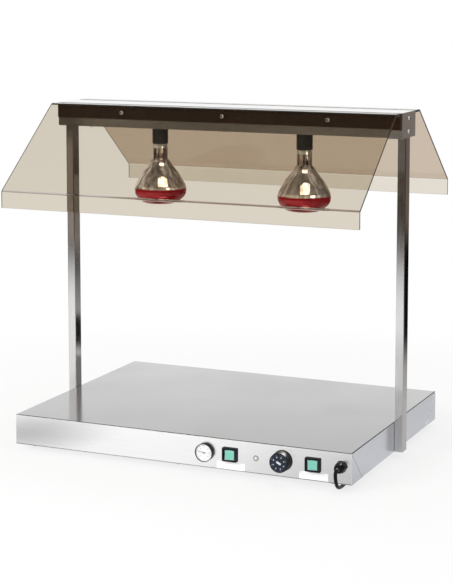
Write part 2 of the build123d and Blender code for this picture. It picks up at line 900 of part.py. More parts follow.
def make_pilot_body():
    """The pilot lamp's ring and barrel."""
    body = disc(pilot_ring_radius, 0, pilot_ring_height)
    body = fillet(body.edges().sort_by(Axis.Z)[-1], pilot_ring_height / 3)
    body += disc(pilot_barrel_radius, -pilot_barrel_depth, 0)
    body -= disc(pilot_lens_radius, pilot_ring_height - pilot_lens_seat, pilot_ring_height)
    return on_front(pilot_place) * body


def make_pilot_lens():
    """The pilot lamp's domed lens."""
    low = pilot_ring_height - pilot_lens_seat
    rim = pilot_lens_radius - slide_gap
    ball = (rim**2 + pilot_lens_height**2) / (2 * pilot_lens_height)
    dome = Pos(0, 0, pilot_lens_height - ball) * Sphere(ball) & disc(2 * rim, 0, pilot_lens_height)
    return on_front(pilot_place) * Pos(0, 0, low) * dome


def make_thermostat_body():
    """The thermostat behind the panel, with the bush for its shaft."""
    half = thermostat_width / 2
    back = -base_sheet - thermostat_depth
    body = block((-half, half), (-half, half), (back, -base_sheet))
    body = fillet(body.edges().filter_by(Axis.Z), thermostat_width / 10)
    body -= disc(shaft_radius + running_gap, -base_sheet - shaft_bush_depth, 0)
    for across in (-1, 1):
        spot = Pos(across * thermostat_screw_spacing / 2, 0, 0)
        end = -thermostat_screw_length - base_sheet
        body -= spot * disc(thermostat_screw_radius + thread_gap, end, 0)
    return on_front(thermostat_place) * body


def make_thermostat_screws():
    """Two screws that hold the thermostat, hidden by the knob."""
    screw = disc(thermostat_head_radius, 0, thermostat_head_height)
    screw += disc(thermostat_screw_radius, -thermostat_screw_length, 0)
    spots = [Pos(across * thermostat_screw_spacing / 2, 0, 0) for across in (-1, 1)]
    return [on_front(thermostat_place) * spot * screw for spot in spots]


def make_shaft():
    """The thermostat's shaft, from its bush to the inside of the knob."""
    tip = knob_stand_off + knob_grip_depth
    shaft = disc(shaft_radius, -base_sheet - shaft_bush_depth + hole_gap, tip)
    return on_front(thermostat_place) * shaft


def make_knob():
    """The thermostat's knob: a cup with a hub, a slight taper and a recessed face."""
    front_radius = knob_radius - knob_taper
    knob = turned(
        [
            (0, knob_stand_off),
            (knob_radius, knob_stand_off),
            (front_radius, knob_reach),
            (0, knob_reach),
        ]
    )
    knob = fillet(knob.edges().sort_by(Axis.Z)[-1], knob_edge_radius)
    cup_front = knob_reach - knob_front
    cup = disc(knob_radius - knob_wall, knob_stand_off, cup_front)
    cup -= disc(knob_hub_radius, knob_stand_off, cup_front)
    knob -= cup
    grip_end = knob_stand_off + knob_grip_depth + hole_gap
    knob -= disc(shaft_radius + running_gap, knob_stand_off, grip_end)
    knob -= disc(knob_face_radius, knob_reach - knob_face_recess, knob_reach)
    return on_front(thermostat_place) * knob


def make_probe(place, back, lift):
    """A capillary from the back of a control up to a bulb under the hot plate."""
    across, up = place
    height = base_bottom + up + lift
    under = inner_top - probe_gap - probe_radius
    bulb_y = front_y + probe_set_back
    start = (across, front_y + back, height)
    turn = (across, bulb_y, height)
    top = (across, bulb_y, under)
    end = (across - probe_lead, bulb_y, under)
    rise = abs(under - height)
    bend = min(capillary_bend, 0.45 * rise)
    probe = tube_along([start, turn, top, end], capillary_radius, bend)
    return probe + seat(disc(probe_radius, 0, probe_length), end, (-1, 0, 0))


def make_legend_plates():
    """Blank white plates under the switches."""
    plates = []
    low = base_bottom + legend_edge_gap
    for across, _ in (left_switch_place, right_switch_place):
        span = (across - legend_width / 2, across + legend_width / 2)
        plates.append(block(span, (front_y - legend_sheet, front_y), (low, low + legend_height)))
    return plates


def make_gland():
    """The cable gland's body: thread through the panel and a hexagon in front of it."""
    body = disc(gland_thread_radius, -gland_thread_length, 0)
    body += hexagon(gland_flat_width, 0, gland_hex_height)
    body -= disc(cord_radius + hole_gap, -gland_thread_length, gland_hex_height)
    return on_front(gland_place) * body


def make_gland_nut():
    """The gland's dome nut, narrowing to its nose."""
    shoulder = gland_reach - gland_nose_length
    nut = turned(
        [
            (0, gland_hex_height),
            (gland_nut_radius, gland_hex_height),
            (gland_nut_radius, shoulder),
            (gland_nose_radius, gland_reach),
            (0, gland_reach),
        ]
    )
    nut = fillet(nut.edges().filter_by(GeomType.CIRCLE).group_by(Axis.Z)[1], gland_nose_length / 3)
    nut -= disc(cord_radius + hole_gap, gland_hex_height, gland_reach)
    return on_front(gland_place) * nut


def make_lock_nut():
    """The gland's lock nut inside the base."""
    nut = hexagon(gland_flat_width, -base_sheet - lock_nut_height, -base_sheet)
    nut -= disc(gland_thread_radius + thread_gap, -base_sheet - lock_nut_height, -base_sheet)
    return on_front(gland_place) * nut


element_z = inner_top - element_seat_gap - element_radius
element_front_y = front_y + element_front
element_back_y = back_y - element_back
element_spacing = element_width / (element_runs - 1)
element_bend = min(element_bend_radius, 0.45 * element_spacing)
element_right = element_width / 2


def make_element():
    """The heating element: one rod folded to and fro under the hot plate."""
    points = []
    for run in range(element_runs):
        x = element_right - run * element_spacing
        ends = [(x, element_front_y, element_z), (x, element_back_y, element_z)]
        points += ends if run % 2 == 0 else ends[::-1]
    return tube_along(points, element_radius, element_bend)


clamp_top = inner_top
clamp_low = element_z - element_radius - element_seat_gap
clamp_reach = element_right + element_radius + clamp_end_gap


def make_clamps():
    """Bridge strips that press the element against the hot plate."""
    clamps = []
    middle_y = (element_front_y + element_back_y) / 2
    for along in (-1, 0, 1):
        y = middle_y + along * clamp_spacing / 2
        width = (y - clamp_width / 2, y + clamp_width / 2)
        strip = block((-clamp_reach, clamp_reach), width, (clamp_low - clamp_sheet, clamp_low))
        for across in (-1, 1):
            wall = sorted((across * clamp_reach, across * (clamp_reach - clamp_sheet)))
            foot = sorted((across * clamp_reach, across * (clamp_reach + clamp_foot)))
            strip += block(wall, width, (clamp_low - clamp_sheet, clamp_top))
            strip += block(foot, width, (clamp_top - clamp_sheet, clamp_top))
        clamps.append(strip)
    return clamps


def make_insulation():
    """The mineral wool slab on the bottom plate."""
    reach = side_x - insulation_side_gap
    slab = block(
        (-reach, reach),
        (front_y + insulation_front_gap, back_y - insulation_back_gap),
        (base_bottom, base_bottom + insulation_thickness),
    )
    for x, y in foot_spots:
        slab -= Pos(x, y, base_bottom) * disc(nut_width, 0, nut_height + 2 * thread_past_nut)
    return slab


block_right = gland_place[0] - block_gland_gap
block_left = block_right - block_length
block_middle = (block_left + block_right) / 2
block_y = front_y + block_set_back
block_z = base_bottom + block_height / 2
block_top = base_bottom + block_height


def make_terminal_block():
    """The ceramic terminal block on the bottom plate."""
    body = block(
        (block_left, block_right),
        (block_y - block_depth / 2, block_y + block_depth / 2),
        (base_bottom, block_top),
    )
    return fillet(body.edges().filter_by(Axis.Z), block_depth / 8)


def make_lead(start, end):
    """A thin wire that goes up from its start and then level to its end."""
    x, y, z = start
    end_x, end_y, height = end
    bend = min(branch_bend, 0.9 * (height - z), 0.9 * hypot(end_x - x, end_y - y))
    return tube_along([start, (x, y, height), end], branch_radius, bend)


def make_base_wiring():
    """The supply tail from the gland, and the loom from the block to the controls and element."""
    gland_x, gland_up = gland_place
    gland_z = base_bottom + gland_up
    tail = tube_along(
        [
            (gland_x, front_y - gland_reach, gland_z),
            (gland_x, block_y, gland_z),
            (gland_x, block_y, block_z),
            (block_right, block_y, block_z),
        ],
        cord_radius,
        0.45 * min(gland_z - block_z, gland_x - block_right),
    )
    loom_left = -element_right
    loom = disc(loom_radius, 0, block_left - loom_left + loom_radius)
    loom = seat(loom, (block_left, block_y, block_z), (-1, 0, 0))
    backs = [
        (left_switch_place, switch_body_depth + switch_terminal_length),
        (pilot_place, pilot_barrel_depth),
        (thermostat_place, base_sheet + thermostat_depth),
    ]
    for (across, up), depth in backs:
        loom += make_lead((across, block_y, block_z), (across, front_y + depth, base_bottom + up))
    loom += make_lead((loom_left, block_y, block_z), (loom_left, element_front_y, element_z))
    across, up = right_switch_place
    switch_back = front_y + switch_body_depth + switch_terminal_length
    switch_start = (block_middle, block_y - block_depth / 4, block_top)
    switch_lead = make_lead(switch_start, (across, switch_back, base_bottom + up))
    element_start = (block_middle, block_y + block_depth / 4, block_top)
    element_lead = make_lead(element_start, (element_right, element_front_y, element_z))
    return [tail, loom, switch_lead, element_lead]


def make_lamp_wiring():
    """The lamp cable: from the block up inside the right upright and along the gantry."""
    lane = side_x - lamp_cable_side_gap
    lane_y = block_y + 0.4 * block_depth
    route = [
        (block_right, lane_y, block_z),
        (lane, lane_y, block_z),
        (lane, 0, block_z),
        (lane, 0, lamp_cable_in_z),
        (upright_middle, 0, lamp_cable_in_z),
        (upright_middle, 0, lamp_cable_z),
        (-lamp_reach, 0, lamp_cable_z),
        (-lamp_reach, 0, holder_top - holder_wall),
    ]
    cable = tube_along(route, lamp_cable_radius, lamp_cable_bend)
    drop = disc(lamp_cable_radius, holder_top - holder_wall, lamp_cable_z)
    return cable + Pos(lamp_reach, 0, 0) * drop


def turn_between(a, b, c):
    """The angle, in degrees, by which a route turns at its middle point."""
    return (Vector(*b) - Vector(*a)).get_angle(Vector(*c) - Vector(*b))


def make_cord():
    """The free stretch of cord: its route with an arc at each point as large as its runs allow."""
    radii = []
    for a, b, c in zip(cord_route, cord_route[1:], cord_route[2:]):
        run = min((Vector(*b) - Vector(*a)).length, (Vector(*c) - Vector(*b)).length)
        radii.append(0.45 * run / tan(radians(turn_between(a, b, c)) / 2))
    print("cord radii", [round(radius, 1) for radius in radii])
    path = FilletPolyline(*cord_route, radius=radii)
    cord = tube_along(cord_route, cord_radius, radii)
    plain = pi * cord_radius**2 * path.length
    print("cord length", round(path.length, 1), "volume share", round(cord.volume / plain, 5))
    return cord


def biarc(start, start_way, end, end_way):
    """Two arcs that join two points and keep the direction at each."""
    chord = end - start
    square = 2 * (1 - start_way.dot(end_way))
    linear = 2 * chord.dot(start_way + end_way)
    reach = (sqrt(linear**2 + 4 * square * chord.dot(chord)) - linear) / (2 * square)
    joint = (start + end + (start_way - end_way) * reach) * 0.5
    first = TangentArc(start, joint, tangent=start_way)
    second = TangentArc(end, joint, tangent=end_way * -1)
    return [first, second]


coil_entry = Vector(*cord_route[-1]) + Vector(0, 2 * cord_radius, 0)
coil_rate = coil_pitch / (2 * pi)
coil_skew = atan(coil_rate / coil_radius)
coil_angle = 2 * pi * coil_whole_turns + pi / 2 + 2 * coil_skew
coil_half = coil_angle / 2
coil_centre = coil_entry - Vector(coil_radius * cos(coil_skew), -coil_radius * sin(coil_skew), 0)
coil_pieces = 2 * ceil(coil_half / (pi / 2))
coil_piece = coil_angle / coil_pieces


def coil_node(number):
    """A point of the coil and its direction: in along the lower layer, out along the upper."""
    turn = number * coil_piece
    from_half = number - coil_pieces // 2
    side = (from_half > 0) - (from_half < 0)
    radius = coil_radius - coil_rate * (coil_half - abs(turn - coil_half))
    angle = turn - coil_skew
    out = Vector(cos(angle), sin(angle), 0)
    around = Vector(-sin(angle), cos(angle), 0)
    climb = 0.5 * (1 + max(-1, min(1, from_half)))
    slope = 0.75 * coil_step / coil_piece if from_half == 0 else 0
    way = out * (side * coil_rate) + around * radius + Vector(0, 0, slope)
    return coil_centre + out * radius + Vector(0, 0, climb * coil_step), way.normalized()


def least_gap(points, apart):
    """The smallest distance between points that are at least so many points apart along a line."""
    nearest = min(
        (points[j] - points[i]).length
        for i in range(len(points))
        for j in range(i + apart, len(points))
    )
    return nearest - 2 * cord_radius


def make_coil():
    """The put-away length of cord: flat turns in two layers, as one tube."""
    nodes = [coil_node(number) for number in range(coil_pieces + 1)]
    straight = 2 * cord_radius
    first = nodes[0][0] - nodes[0][1] * straight
    last = nodes[-1][0] + nodes[-1][1] * straight
    edges = [Line(first, nodes[0][0])]
    for (start, start_way), (end, end_way) in zip(nodes, nodes[1:]):
        edges += biarc(start, start_way, end, end_way)
    edges.append(Line(nodes[-1][0], last))
    path = Wire(edges)
    count = int(path.length / cord_radius)
    points = [path.position_at(i / count) for i in range(count + 1)]
    print("coil length", round(path.length, 1), "least gap", round(least_gap(points, 6), 2))
    coil = sweep(Plane(origin=first, z_dir=nodes[0][1]) * Circle(cord_radius), path=path)
    print("coil volume share", round(coil.volume / (pi * cord_radius**2 * path.length), 5))
    return coil, last, nodes[-1][1]


def make_tie():
    """A band round the coil's turns on their far side from the entry."""
    radii = []
    for turn in range(coil_whole_turns):
        crossing = pi + 2 * pi * turn + coil_skew
        radii.append(coil_radius - coil_rate * (coil_half - abs(crossing - coil_half)))
    near = min(radii) - cord_radius - tie_gap
    far = max(radii) + cord_radius + tie_gap
    low = coil_entry.Z - cord_radius - tie_gap
    high = coil_entry.Z + coil_step + cord_radius + tie_gap
    half = tie_width / 2
    outer = block(
        (-far - tie_sheet, tie_sheet - near),
        (-half, half),
        (low - tie_sheet, high + tie_sheet),
    )
    outer = fillet(outer.edges().filter_by(Axis.Y), 2 * tie_sheet)
    inner = block((-far, -near), (-half, half), (low, high))
    inner = fillet(inner.edges().filter_by(Axis.Y), tie_sheet)
    return Pos(coil_centre.X, coil_centre.Y, 0) * (outer - inner)


def make_plug(place, way):
    """The mains plug where the coil ends: a neck, a rounded body and two pins."""
    height = 2 * place.Z
    frame = Plane(origin=place, x_dir=way.cross(Vector(0, 0, 1)), z_dir=way)
    face = plug_neck_length + plug_length
    body = rounded_block(plug_width, height, plug_neck_length, face, plug_corner_radius)
    ends = body.faces().filter_by(Axis.Z)
    body = fillet([edge for end in ends for edge in end.edges()], plug_corner_radius / 3)
    body += turned(
        [
            (0, 0),
            (plug_neck_radius, 0),
            (plug_neck_wide, plug_neck_length),
            (plug_neck_wide, plug_neck_length + plug_corner_radius),
            (0, plug_neck_length + plug_corner_radius),
        ]
    )
    pin = disc(pin_radius, 0, pin_length)
    pin = fillet(pin.edges().sort_by(Axis.Z)[-1], pin_radius / 2)
    pins = [frame * Pos(side * pin_spacing / 2, 0, face) * pin for side in (-1, 1)]
    return frame * body, pins


left_upright, right_upright = make_uprights()
left_cap, right_cap = both_sides(make_end_cap())
rear_guard = make_rear_guard()
rear_gasket = make_rear_gasket()
cord_coil, coil_end, coil_way = make_coil()
plug_body, plug_pins = make_plug(coil_end, coil_way)
thermometer_probe = make_probe(thermometer_place, thermometer_barrel_depth, 0)
thermostat_probe = make_probe(thermostat_place, base_sheet + thermostat_depth, probe_lift)

nodes = {
    "top_cover": make_top_cover(),
    "bottom_plate": make_bottom_plate(),
    "rubber_feet": make_feet(),
    "foot_screws": make_foot_screws(),
    "sheet_screws": make_sheet_screws(),
    "left_upright": left_upright,
    "right_upright": right_upright,
    "upright_plugs": make_upright_plugs(),
    "upright_bolts": make_upright_bolts(),
    "dome_screws": make_dome_screws(),
    "hex_nuts": make_hex_nuts(),
    "gantry_channel": make_gantry_channel(),
    "gantry_cover": make_gantry_cover(),
    "left_end_cap": left_cap,
    "right_end_cap": right_cap,
    "front_guard": mirror(rear_guard, Plane.XZ),
    "rear_guard": rear_guard,
    "front_gasket": mirror(rear_gasket, Plane.XZ),
    "rear_gasket": rear_gasket,
    "thermometer_case": make_thermometer_case(),
    "thermometer_dial": make_dial(),
    "thermometer_needle": make_needle(),
    "thermometer_lens": make_thermometer_lens(),
    "thermometer_probe": thermometer_probe,
    "left_switch_body": make_switch_body(left_switch_place),
    "left_rocker": make_rocker(left_switch_place),
    "right_switch_body": make_switch_body(right_switch_place),
    "right_rocker": make_rocker(right_switch_place),
    "pilot_body": make_pilot_body(),
    "pilot_lens": make_pilot_lens(),
    "thermostat_body": make_thermostat_body(),
    "thermostat_screws": make_thermostat_screws(),
    "thermostat_shaft": make_shaft(),
    "thermostat_knob": make_knob(),
    "thermostat_probe": thermostat_probe,
    "legend_plates": make_legend_plates(),
    "cable_gland": make_gland(),
    "gland_nut": make_gland_nut(),
    "gland_lock_nut": make_lock_nut(),
    "heating_element": make_element(),
    "element_clamps": make_clamps(),
    "insulation_slab": make_insulation(),
    "terminal_block": make_terminal_block(),
    "base_wiring": make_base_wiring(),
    "lamp_wiring": make_lamp_wiring(),
    "power_cord": make_cord(),
    "cord_coil": cord_coil,
    "cord_tie": make_tie(),
    "plug_body": plug_body,
    "plug_pins": plug_pins,
}
for side, across in (("left", -1), ("right", 1)):
    below = Pos(across * lamp_reach, 0, 0)
    nodes[side + "_lamp_holder"] = below * make_holder()
    nodes[side + "_lamp_socket"] = below * make_socket()
    nodes[side + "_lamp_cap"] = below * make_lamp_cap()
    nodes[side + "_lamp_bulb"] = below * make_bulb()
    nodes[side + "_lamp_filament"] = below * make_filament()
os.makedirs("parts", exist_ok=True)
for name, shape in nodes.items():
    pieces = shape if isinstance(shape, list) else [shape]
    solids = [solid for piece in pieces for solid in piece.solids()]
    export_step(Compound(children=solids), "parts/" + name + ".step")
print(len(nodes), "nodes")
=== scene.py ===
import bpy
import bmesh
from math import atan, cos, pi, radians, sin, tan
from mathutils import Matrix, Vector


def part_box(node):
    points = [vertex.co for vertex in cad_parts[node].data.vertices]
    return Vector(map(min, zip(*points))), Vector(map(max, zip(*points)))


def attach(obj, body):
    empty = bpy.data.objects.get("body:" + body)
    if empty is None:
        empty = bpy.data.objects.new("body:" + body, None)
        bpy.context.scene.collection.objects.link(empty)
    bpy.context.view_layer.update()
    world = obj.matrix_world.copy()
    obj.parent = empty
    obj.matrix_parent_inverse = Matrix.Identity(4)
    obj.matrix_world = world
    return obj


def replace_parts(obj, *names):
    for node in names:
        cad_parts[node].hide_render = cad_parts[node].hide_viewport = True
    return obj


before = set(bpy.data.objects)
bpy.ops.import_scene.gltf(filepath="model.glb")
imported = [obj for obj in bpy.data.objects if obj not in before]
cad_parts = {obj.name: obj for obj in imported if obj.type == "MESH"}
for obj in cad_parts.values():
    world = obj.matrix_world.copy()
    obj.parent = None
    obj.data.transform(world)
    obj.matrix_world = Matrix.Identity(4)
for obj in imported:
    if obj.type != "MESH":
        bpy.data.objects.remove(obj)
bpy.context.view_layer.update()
scene = bpy.context.scene
scene.view_settings.view_transform = "Standard"
mm = 0.001
white3 = (1, 1, 1)
samePlace = 1e-6  # metres, within which two points are one
cutPlace = 1e-7  # the same on a cut or a turned profile
onFace = 0.1 * mm  # how near to a face its own points are
squarely = 0.99  # how straight an edge or a face lies along an axis
print("frame loaded:", len(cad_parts), "nodes")


# Camera
cameraSet = {
    "place": (1.6020, -3.6611, 1.0935),  # metres
    "yaw": 23.814,  # degrees to the left of +Y
    "pitch": 6.554,  # degrees down
    "lens": 104.97,
    "shift": -0.20,
}
cameraData = bpy.data.cameras.new("catalogueCamera")
cameraData.lens = cameraSet["lens"]
cameraData.shift_y = cameraSet["shift"]
camera = bpy.data.objects.new("catalogueCamera", cameraData)
camera.location = cameraSet["place"]
camera.rotation_euler = (radians(90 - cameraSet["pitch"]), 0, radians(cameraSet["yaw"]))
scene.collection.objects.link(camera)
scene.camera = camera
print("camera placed")


# Node helpers
def newMaterial(name):
    material = bpy.data.materials.new(name)
    material.use_nodes = True
    tree = material.node_tree
    return material, tree, tree.nodes["Principled BSDF"]


def setSockets(node, values):
    for socket, value in values.items():
        node.inputs[socket].default_value = value


def feed(tree, node, **sources):
    # links outputs to sockets by name, with _ for a space
    for socket, source in sources.items():
        tree.links.new(source, node.inputs[socket.replace("_", " ")])


def addNode(tree, kind, values=None, **sources):
    node = tree.nodes.new("ShaderNode" + kind)
    setSockets(node, values or {})
    feed(tree, node, **sources)
    return node


def objectCoords(tree, centre=(0, 0, 0), stretch=(1, 1, 1)):
    coords = addNode(tree, "TexCoord")
    values = {"Location": [-c * s for c, s in zip(centre, stretch)], "Scale": stretch}
    return addNode(tree, "Mapping", values, Vector=coords.outputs["Object"]).outputs["Vector"]


def noiseOn(tree, scale, stretch=(1, 1, 1), detail=3.0):
    values = {"Scale": scale, "Detail": detail}
    return addNode(tree, "TexNoise", values, Vector=objectCoords(tree, stretch=stretch)).outputs["Fac"]


def distanceFrom(tree, centre, stretch=(1, 1, 1)):
    away = addNode(tree, "VectorMath", Vector=objectCoords(tree, centre, stretch))
    away.operation = "LENGTH"
    return away.outputs["Value"]


def spread(tree, source, low, high, fromLow=0.3, fromHigh=0.7):
    values = {"From Min": fromLow, "From Max": fromHigh, "To Min": low, "To Max": high}
    return addNode(tree, "MapRange", values, Value=source).outputs["Result"]


def maths(tree, operation, first, second):
    node = addNode(tree, "Math")
    node.operation = operation
    node.use_clamp = True
    tree.links.new(first, node.inputs[0])
    tree.links.new(second, node.inputs[1])
    return node.outputs["Value"]


def levels(tree, source, stops):
    # colours through (position, level, tint) stops
    ramp = addNode(tree, "ValToRGB", Fac=source)
    steps = ramp.color_ramp.elements
    steps[0].position, steps[1].position = stops[0][0], stops[-1][0]
    for position, _, _ in stops[1:-1]:
        steps.new(position)
    for step, (_, level, tint) in zip(steps, stops):
        step.color = (*[level * part for part in tint], 1)
    return ramp.outputs["Color"]


def tones(tree, source, dark, light, start=0.3, end=0.7):
    return levels(tree, source, [(start, 1, dark), (end, 1, light)])


def blendColours(tree, share, first, second):
    # first where share is 0, second where it is 1; the Mix node's sockets for colours have these numbers
    mix = addNode(tree, "Mix")
    mix.data_type = "RGBA"
    feed(tree, mix, Factor=share)
    tree.links.new(first, mix.inputs[6])
    tree.links.new(second, mix.inputs[7])
    return mix.outputs[2]


def blendShaders(tree, share, first, second):
    mix = addNode(tree, "MixShader", Fac=share)
    tree.links.new(first, mix.inputs[1])
    tree.links.new(second, mix.inputs[2])
    return mix.outputs["Shader"]


def relief(tree, shader, source, height):
    bump = addNode(tree, "Bump", {"Distance": height}, Height=source)
    feed(tree, shader, Normal=bump.outputs["Normal"])


def finish(name, dark, light, rough, scale, stretch=(1, 1, 1), height=0.0, **sockets):
    # a finish whose colour, gloss and grain drift between two values
    material, tree, shader = newMaterial(name)
    setSockets(shader, {key.replace("_", " "): value for key, value in sockets.items()})
    grain = noiseOn(tree, scale, stretch)
    feed(tree, shader, Base_Color=tones(tree, grain, dark, light), Roughness=spread(tree, grain, *rough))
    if height:
        relief(tree, shader, grain, height)
    return material


brushSet = {
    "lineScale": 700,
    "wipeScale": 7,
    "wipeDetail": 4,
}


def brushedSteel(name, dark, light, rough, stretch, smearWay=None, smear=0.0, drift=0.05):
    # fine brush lines, with a slow drift of the gloss where hands and cloths have been
    # smearWay is the way across the lines, along which a reflection is drawn out
    material, tree, shader = newMaterial(name)
    setSockets(shader, {"Metallic": 1.0, "Anisotropic": smear})
    if smearWay:
        across = addNode(tree, "CombineXYZ", dict(zip("XYZ", smearWay)))
        feed(tree, shader, Tangent=across.outputs["Vector"])
    lines = noiseOn(tree, brushSet["lineScale"], stretch)
    wiped = noiseOn(tree, brushSet["wipeScale"], detail=brushSet["wipeDetail"])
    gloss = maths(tree, "ADD", spread(tree, lines, *rough), spread(tree, wiped, 0, drift))
    feed(tree, shader, Base_Color=tones(tree, lines, dark, light), Roughness=gloss)
    return material


def clearFinish(name, tint, lampTint, ior, depthColour=None, depthRate=0.0):
    # glass that lets the lamps through to what is behind it, darker where the way through it is longer
    material, tree, shader = newMaterial(name)
    setSockets(shader, {"Base Color": (*tint, 1), "Roughness": 0.0, "IOR": ior, "Transmission Weight": 1.0})
    output = tree.nodes["Material Output"]
    rays = addNode(tree, "LightPath")
    through = addNode(tree, "BsdfTransparent", {"Color": (*lampTint, 1)})
    glass = blendShaders(tree, rays.outputs["Is Shadow Ray"], shader.outputs["BSDF"], through.outputs["BSDF"])
    feed(tree, output, Surface=glass)
    if depthColour:
        inside = addNode(tree, "VolumeAbsorption", {"Color": (*depthColour, 1), "Density": depthRate})
        feed(tree, output, Volume=inside.outputs["Volume"])
    return material


# Mesh helpers
def spun(profile, bends=None, steps=64, arcSteps=5):
    # turns corners (radius, height) in mm about Z, then rounds the rings named in bends by their radius
    bm = bmesh.new()
    line = [bm.verts.new((r * mm, 0, h * mm)) for r, h in profile]
    links = [bm.edges.new(pair) for pair in zip(line, line[1:])]
    bmesh.ops.spin(bm, geom=line + links, axis=(0, 0, 1), cent=(0, 0, 0), angle=2 * pi, steps=steps,
                   use_merge=True)
    bmesh.ops.remove_doubles(bm, verts=bm.verts, dist=cutPlace)
    bmesh.ops.recalc_face_normals(bm, faces=bm.faces)
    for index, radius in (bends or {}).items():
        before, corner, after = (Vector(profile[index + step]) for step in (-1, 0, 1))
        turn = (corner - before).angle(after - corner)
        ring = [e for e in bm.edges if all(onRing(v, corner) for v in e.verts)]
        roundOff(bm, ring, radius * tan(turn / 2), arcSteps)
    return bm


def onRing(vert, corner):
    reach = vert.co.xy.length
    return abs(reach - corner.x * mm) < samePlace and abs(vert.co.z - corner.y * mm) < samePlace


def block(bm, low, high):
    # a box between two corners in mm, added to bm; gives its vertices
    size = [(b - a) * mm for a, b in zip(low, high)]
    middle = [(a + b) / 2 * mm for a, b in zip(low, high)]
    made = bmesh.ops.create_cube(bm, size=1, matrix=Matrix.LocRotScale(middle, None, size))
    return made["verts"]


def edgesOf(verts, test=None):
    edges = dict.fromkeys(e for v in verts for e in v.link_edges)
    return [e for e in edges if test is None or test(e)]


def runsAlong(axis):
    return lambda e: abs((e.verts[0].co - e.verts[1].co).normalized()[axis]) > squarely


def roundOff(bm, edges, width, steps=3):
    bmesh.ops.bevel(bm, geom=list(edges), offset=width * mm, segments=steps, affect="EDGES", profile=0.5,
                    material=-1, clamp_overlap=True)


def insetFace(bm, face, width, rise=0.0):
    bmesh.ops.inset_region(bm, faces=[face], thickness=width * mm, depth=rise * mm, use_even_offset=True)


def fitFace(bm, face, wide, high):
    # scales a face that is centred on the axis to a width and height in mm
    now = [2 * max(v.co[axis] for v in face.verts) for axis in (0, 1)]
    bmesh.ops.scale(bm, vec=(wide * mm / now[0], high * mm / now[1], 1), verts=face.verts)


def pushFace(bm, face, height):
    # extrudes a face along Z to a height in mm and gives the new face
    new = bmesh.ops.extrude_discrete_faces(bm, faces=[face])["faces"][0]
    rise = height * mm - new.calc_center_median().z
    bmesh.ops.translate(bm, vec=(0, 0, rise), verts=new.verts)
    return new


def joinCopies(source, places):
    # one bmesh with a copy of source at each matrix
    mesh = bpy.data.meshes.new("pattern")
    source.to_mesh(mesh)
    source.free()
    bm = bmesh.new()
    for matrix in places:
        start = len(bm.verts)
        bm.from_mesh(mesh)
        bm.verts.ensure_lookup_table()
        bmesh.ops.transform(bm, matrix=matrix, verts=bm.verts[start:])
    bpy.data.meshes.remove(mesh)
    return bm


def textInto(bm, words, height, matrix):
    # adds flat figures, centred on their matrix
    curve = bpy.data.curves.new("figures", "FONT")
    curve.body = words
    curve.size = height * mm
    curve.align_x = curve.align_y = "CENTER"
    figures = bpy.data.objects.new("figures", curve)
    scene.collection.objects.link(figures)
    mesh = bpy.data.meshes.new_from_object(figures.evaluated_get(bpy.context.evaluated_depsgraph_get()))
    mesh.transform(matrix)
    bm.from_mesh(mesh)
    bpy.data.objects.remove(figures)
    bpy.data.curves.remove(curve)
    bpy.data.meshes.remove(mesh)


def meshObject(bm, name, materials):
    mesh = bpy.data.meshes.new(name)
    bm.to_mesh(mesh)
    bm.free()
    for material in materials:
        mesh.materials.append(material)
    made = bpy.data.objects.new(name, mesh)
    scene.collection.objects.link(made)
    return made


def makePiece(bm, name, materials, nodes=(), body="cabinet", matrix=None, sharp=32):
    # sharp is the angle in degrees past which an edge isn't shaded smooth
    if matrix is not None:
        bmesh.ops.transform(bm, matrix=matrix, verts=bm.verts)
    piece = meshObject(bm, name, materials)
    piece.data.shade_smooth()
    piece.data.set_sharp_from_angle(angle=radians(sharp))
    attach(piece, body)
    if nodes:
        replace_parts(piece, *nodes)
    return piece


def mergedCopy(node):
    # a CAD node's mesh as one closed bmesh with its flat faces whole
    flatWithin = radians(0.3)
    bm = bmesh.new()
    bm.from_mesh(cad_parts[node].data)
    bmesh.ops.remove_doubles(bm, verts=bm.verts, dist=samePlace)
    bmesh.ops.dissolve_limit(bm, angle_limit=flatWithin, verts=bm.verts, edges=bm.edges)
    return bm


def flatten(piece):
    # keeps the shading of large flat faces flat beside small bends
    piece.modifiers.new("flatFaces", "WEIGHTED_NORMAL").keep_sharp = True
    return piece


def softenEdges(piece, width, angle=40):
    edge = piece.modifiers.new("softEdges", "BEVEL")
    edge.width = width * mm
    edge.segments = 2
    edge.limit_method = "ANGLE"
    edge.angle_limit = radians(angle)
    edge.harden_normals = True
    return piece


def middleOf(node):
    low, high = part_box(node)
    return (low + high) / 2


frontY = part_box("legend_plates")[1].y  # the front panel's plane


def onPanel(node):
    # a control's own axes: X right, Y up, Z towards the user, from the middle of its place on the panel
    middle = middleOf(node)
    return Matrix(((1, 0, 0, middle.x), (0, 0, -1, frontY), (0, 1, 0, middle.z), (0, 0, 0, 1)))


# Mains cord: from the gland down under the base, then wound into a coil behind it
cordSet = {
    "radius": 4.0,  # mm
    "route": [
        (393.0, -334.0, 56.0),
        (393.0, -341.5, 56.0),
        (392.3, -345.5, 49.0),
        (391.5, -341.0, 34.0),
        (390.3, -331.0, 20.5),
        (388.8, -316.0, 11.0),
        (386.0, -290.0, 5.0),
        (381.0, -222.0, 4.0),
        (377.0, -125.0, 4.0),
        (378.0, -20.0, 4.0),
        (383.5, 82.0, 4.0),
        (386.5, 178.0, 4.0),
        (387.0, 258.0, 4.0),
        (384.0, 314.0, 5.8),
        (384.0, 352.0, 5.8),
    ],
    "coilRadius": 50.0,
    "coilPitch": 8.7,  # between two turns of a layer
    "coilStep": 8.7,  # between the two layers
    "wholeTurns": 4,
    "climbParts": 9,  # the climb takes one part of this many
    "pointsPerTurn": 24,
    "smoothness": 6,  # steps between two points of the route
    "roundness": 5,  # steps in the cord's section
    "exit": (0.393, -0.334, 0.056),  # metres
    "length": 1.86,  # metres
}


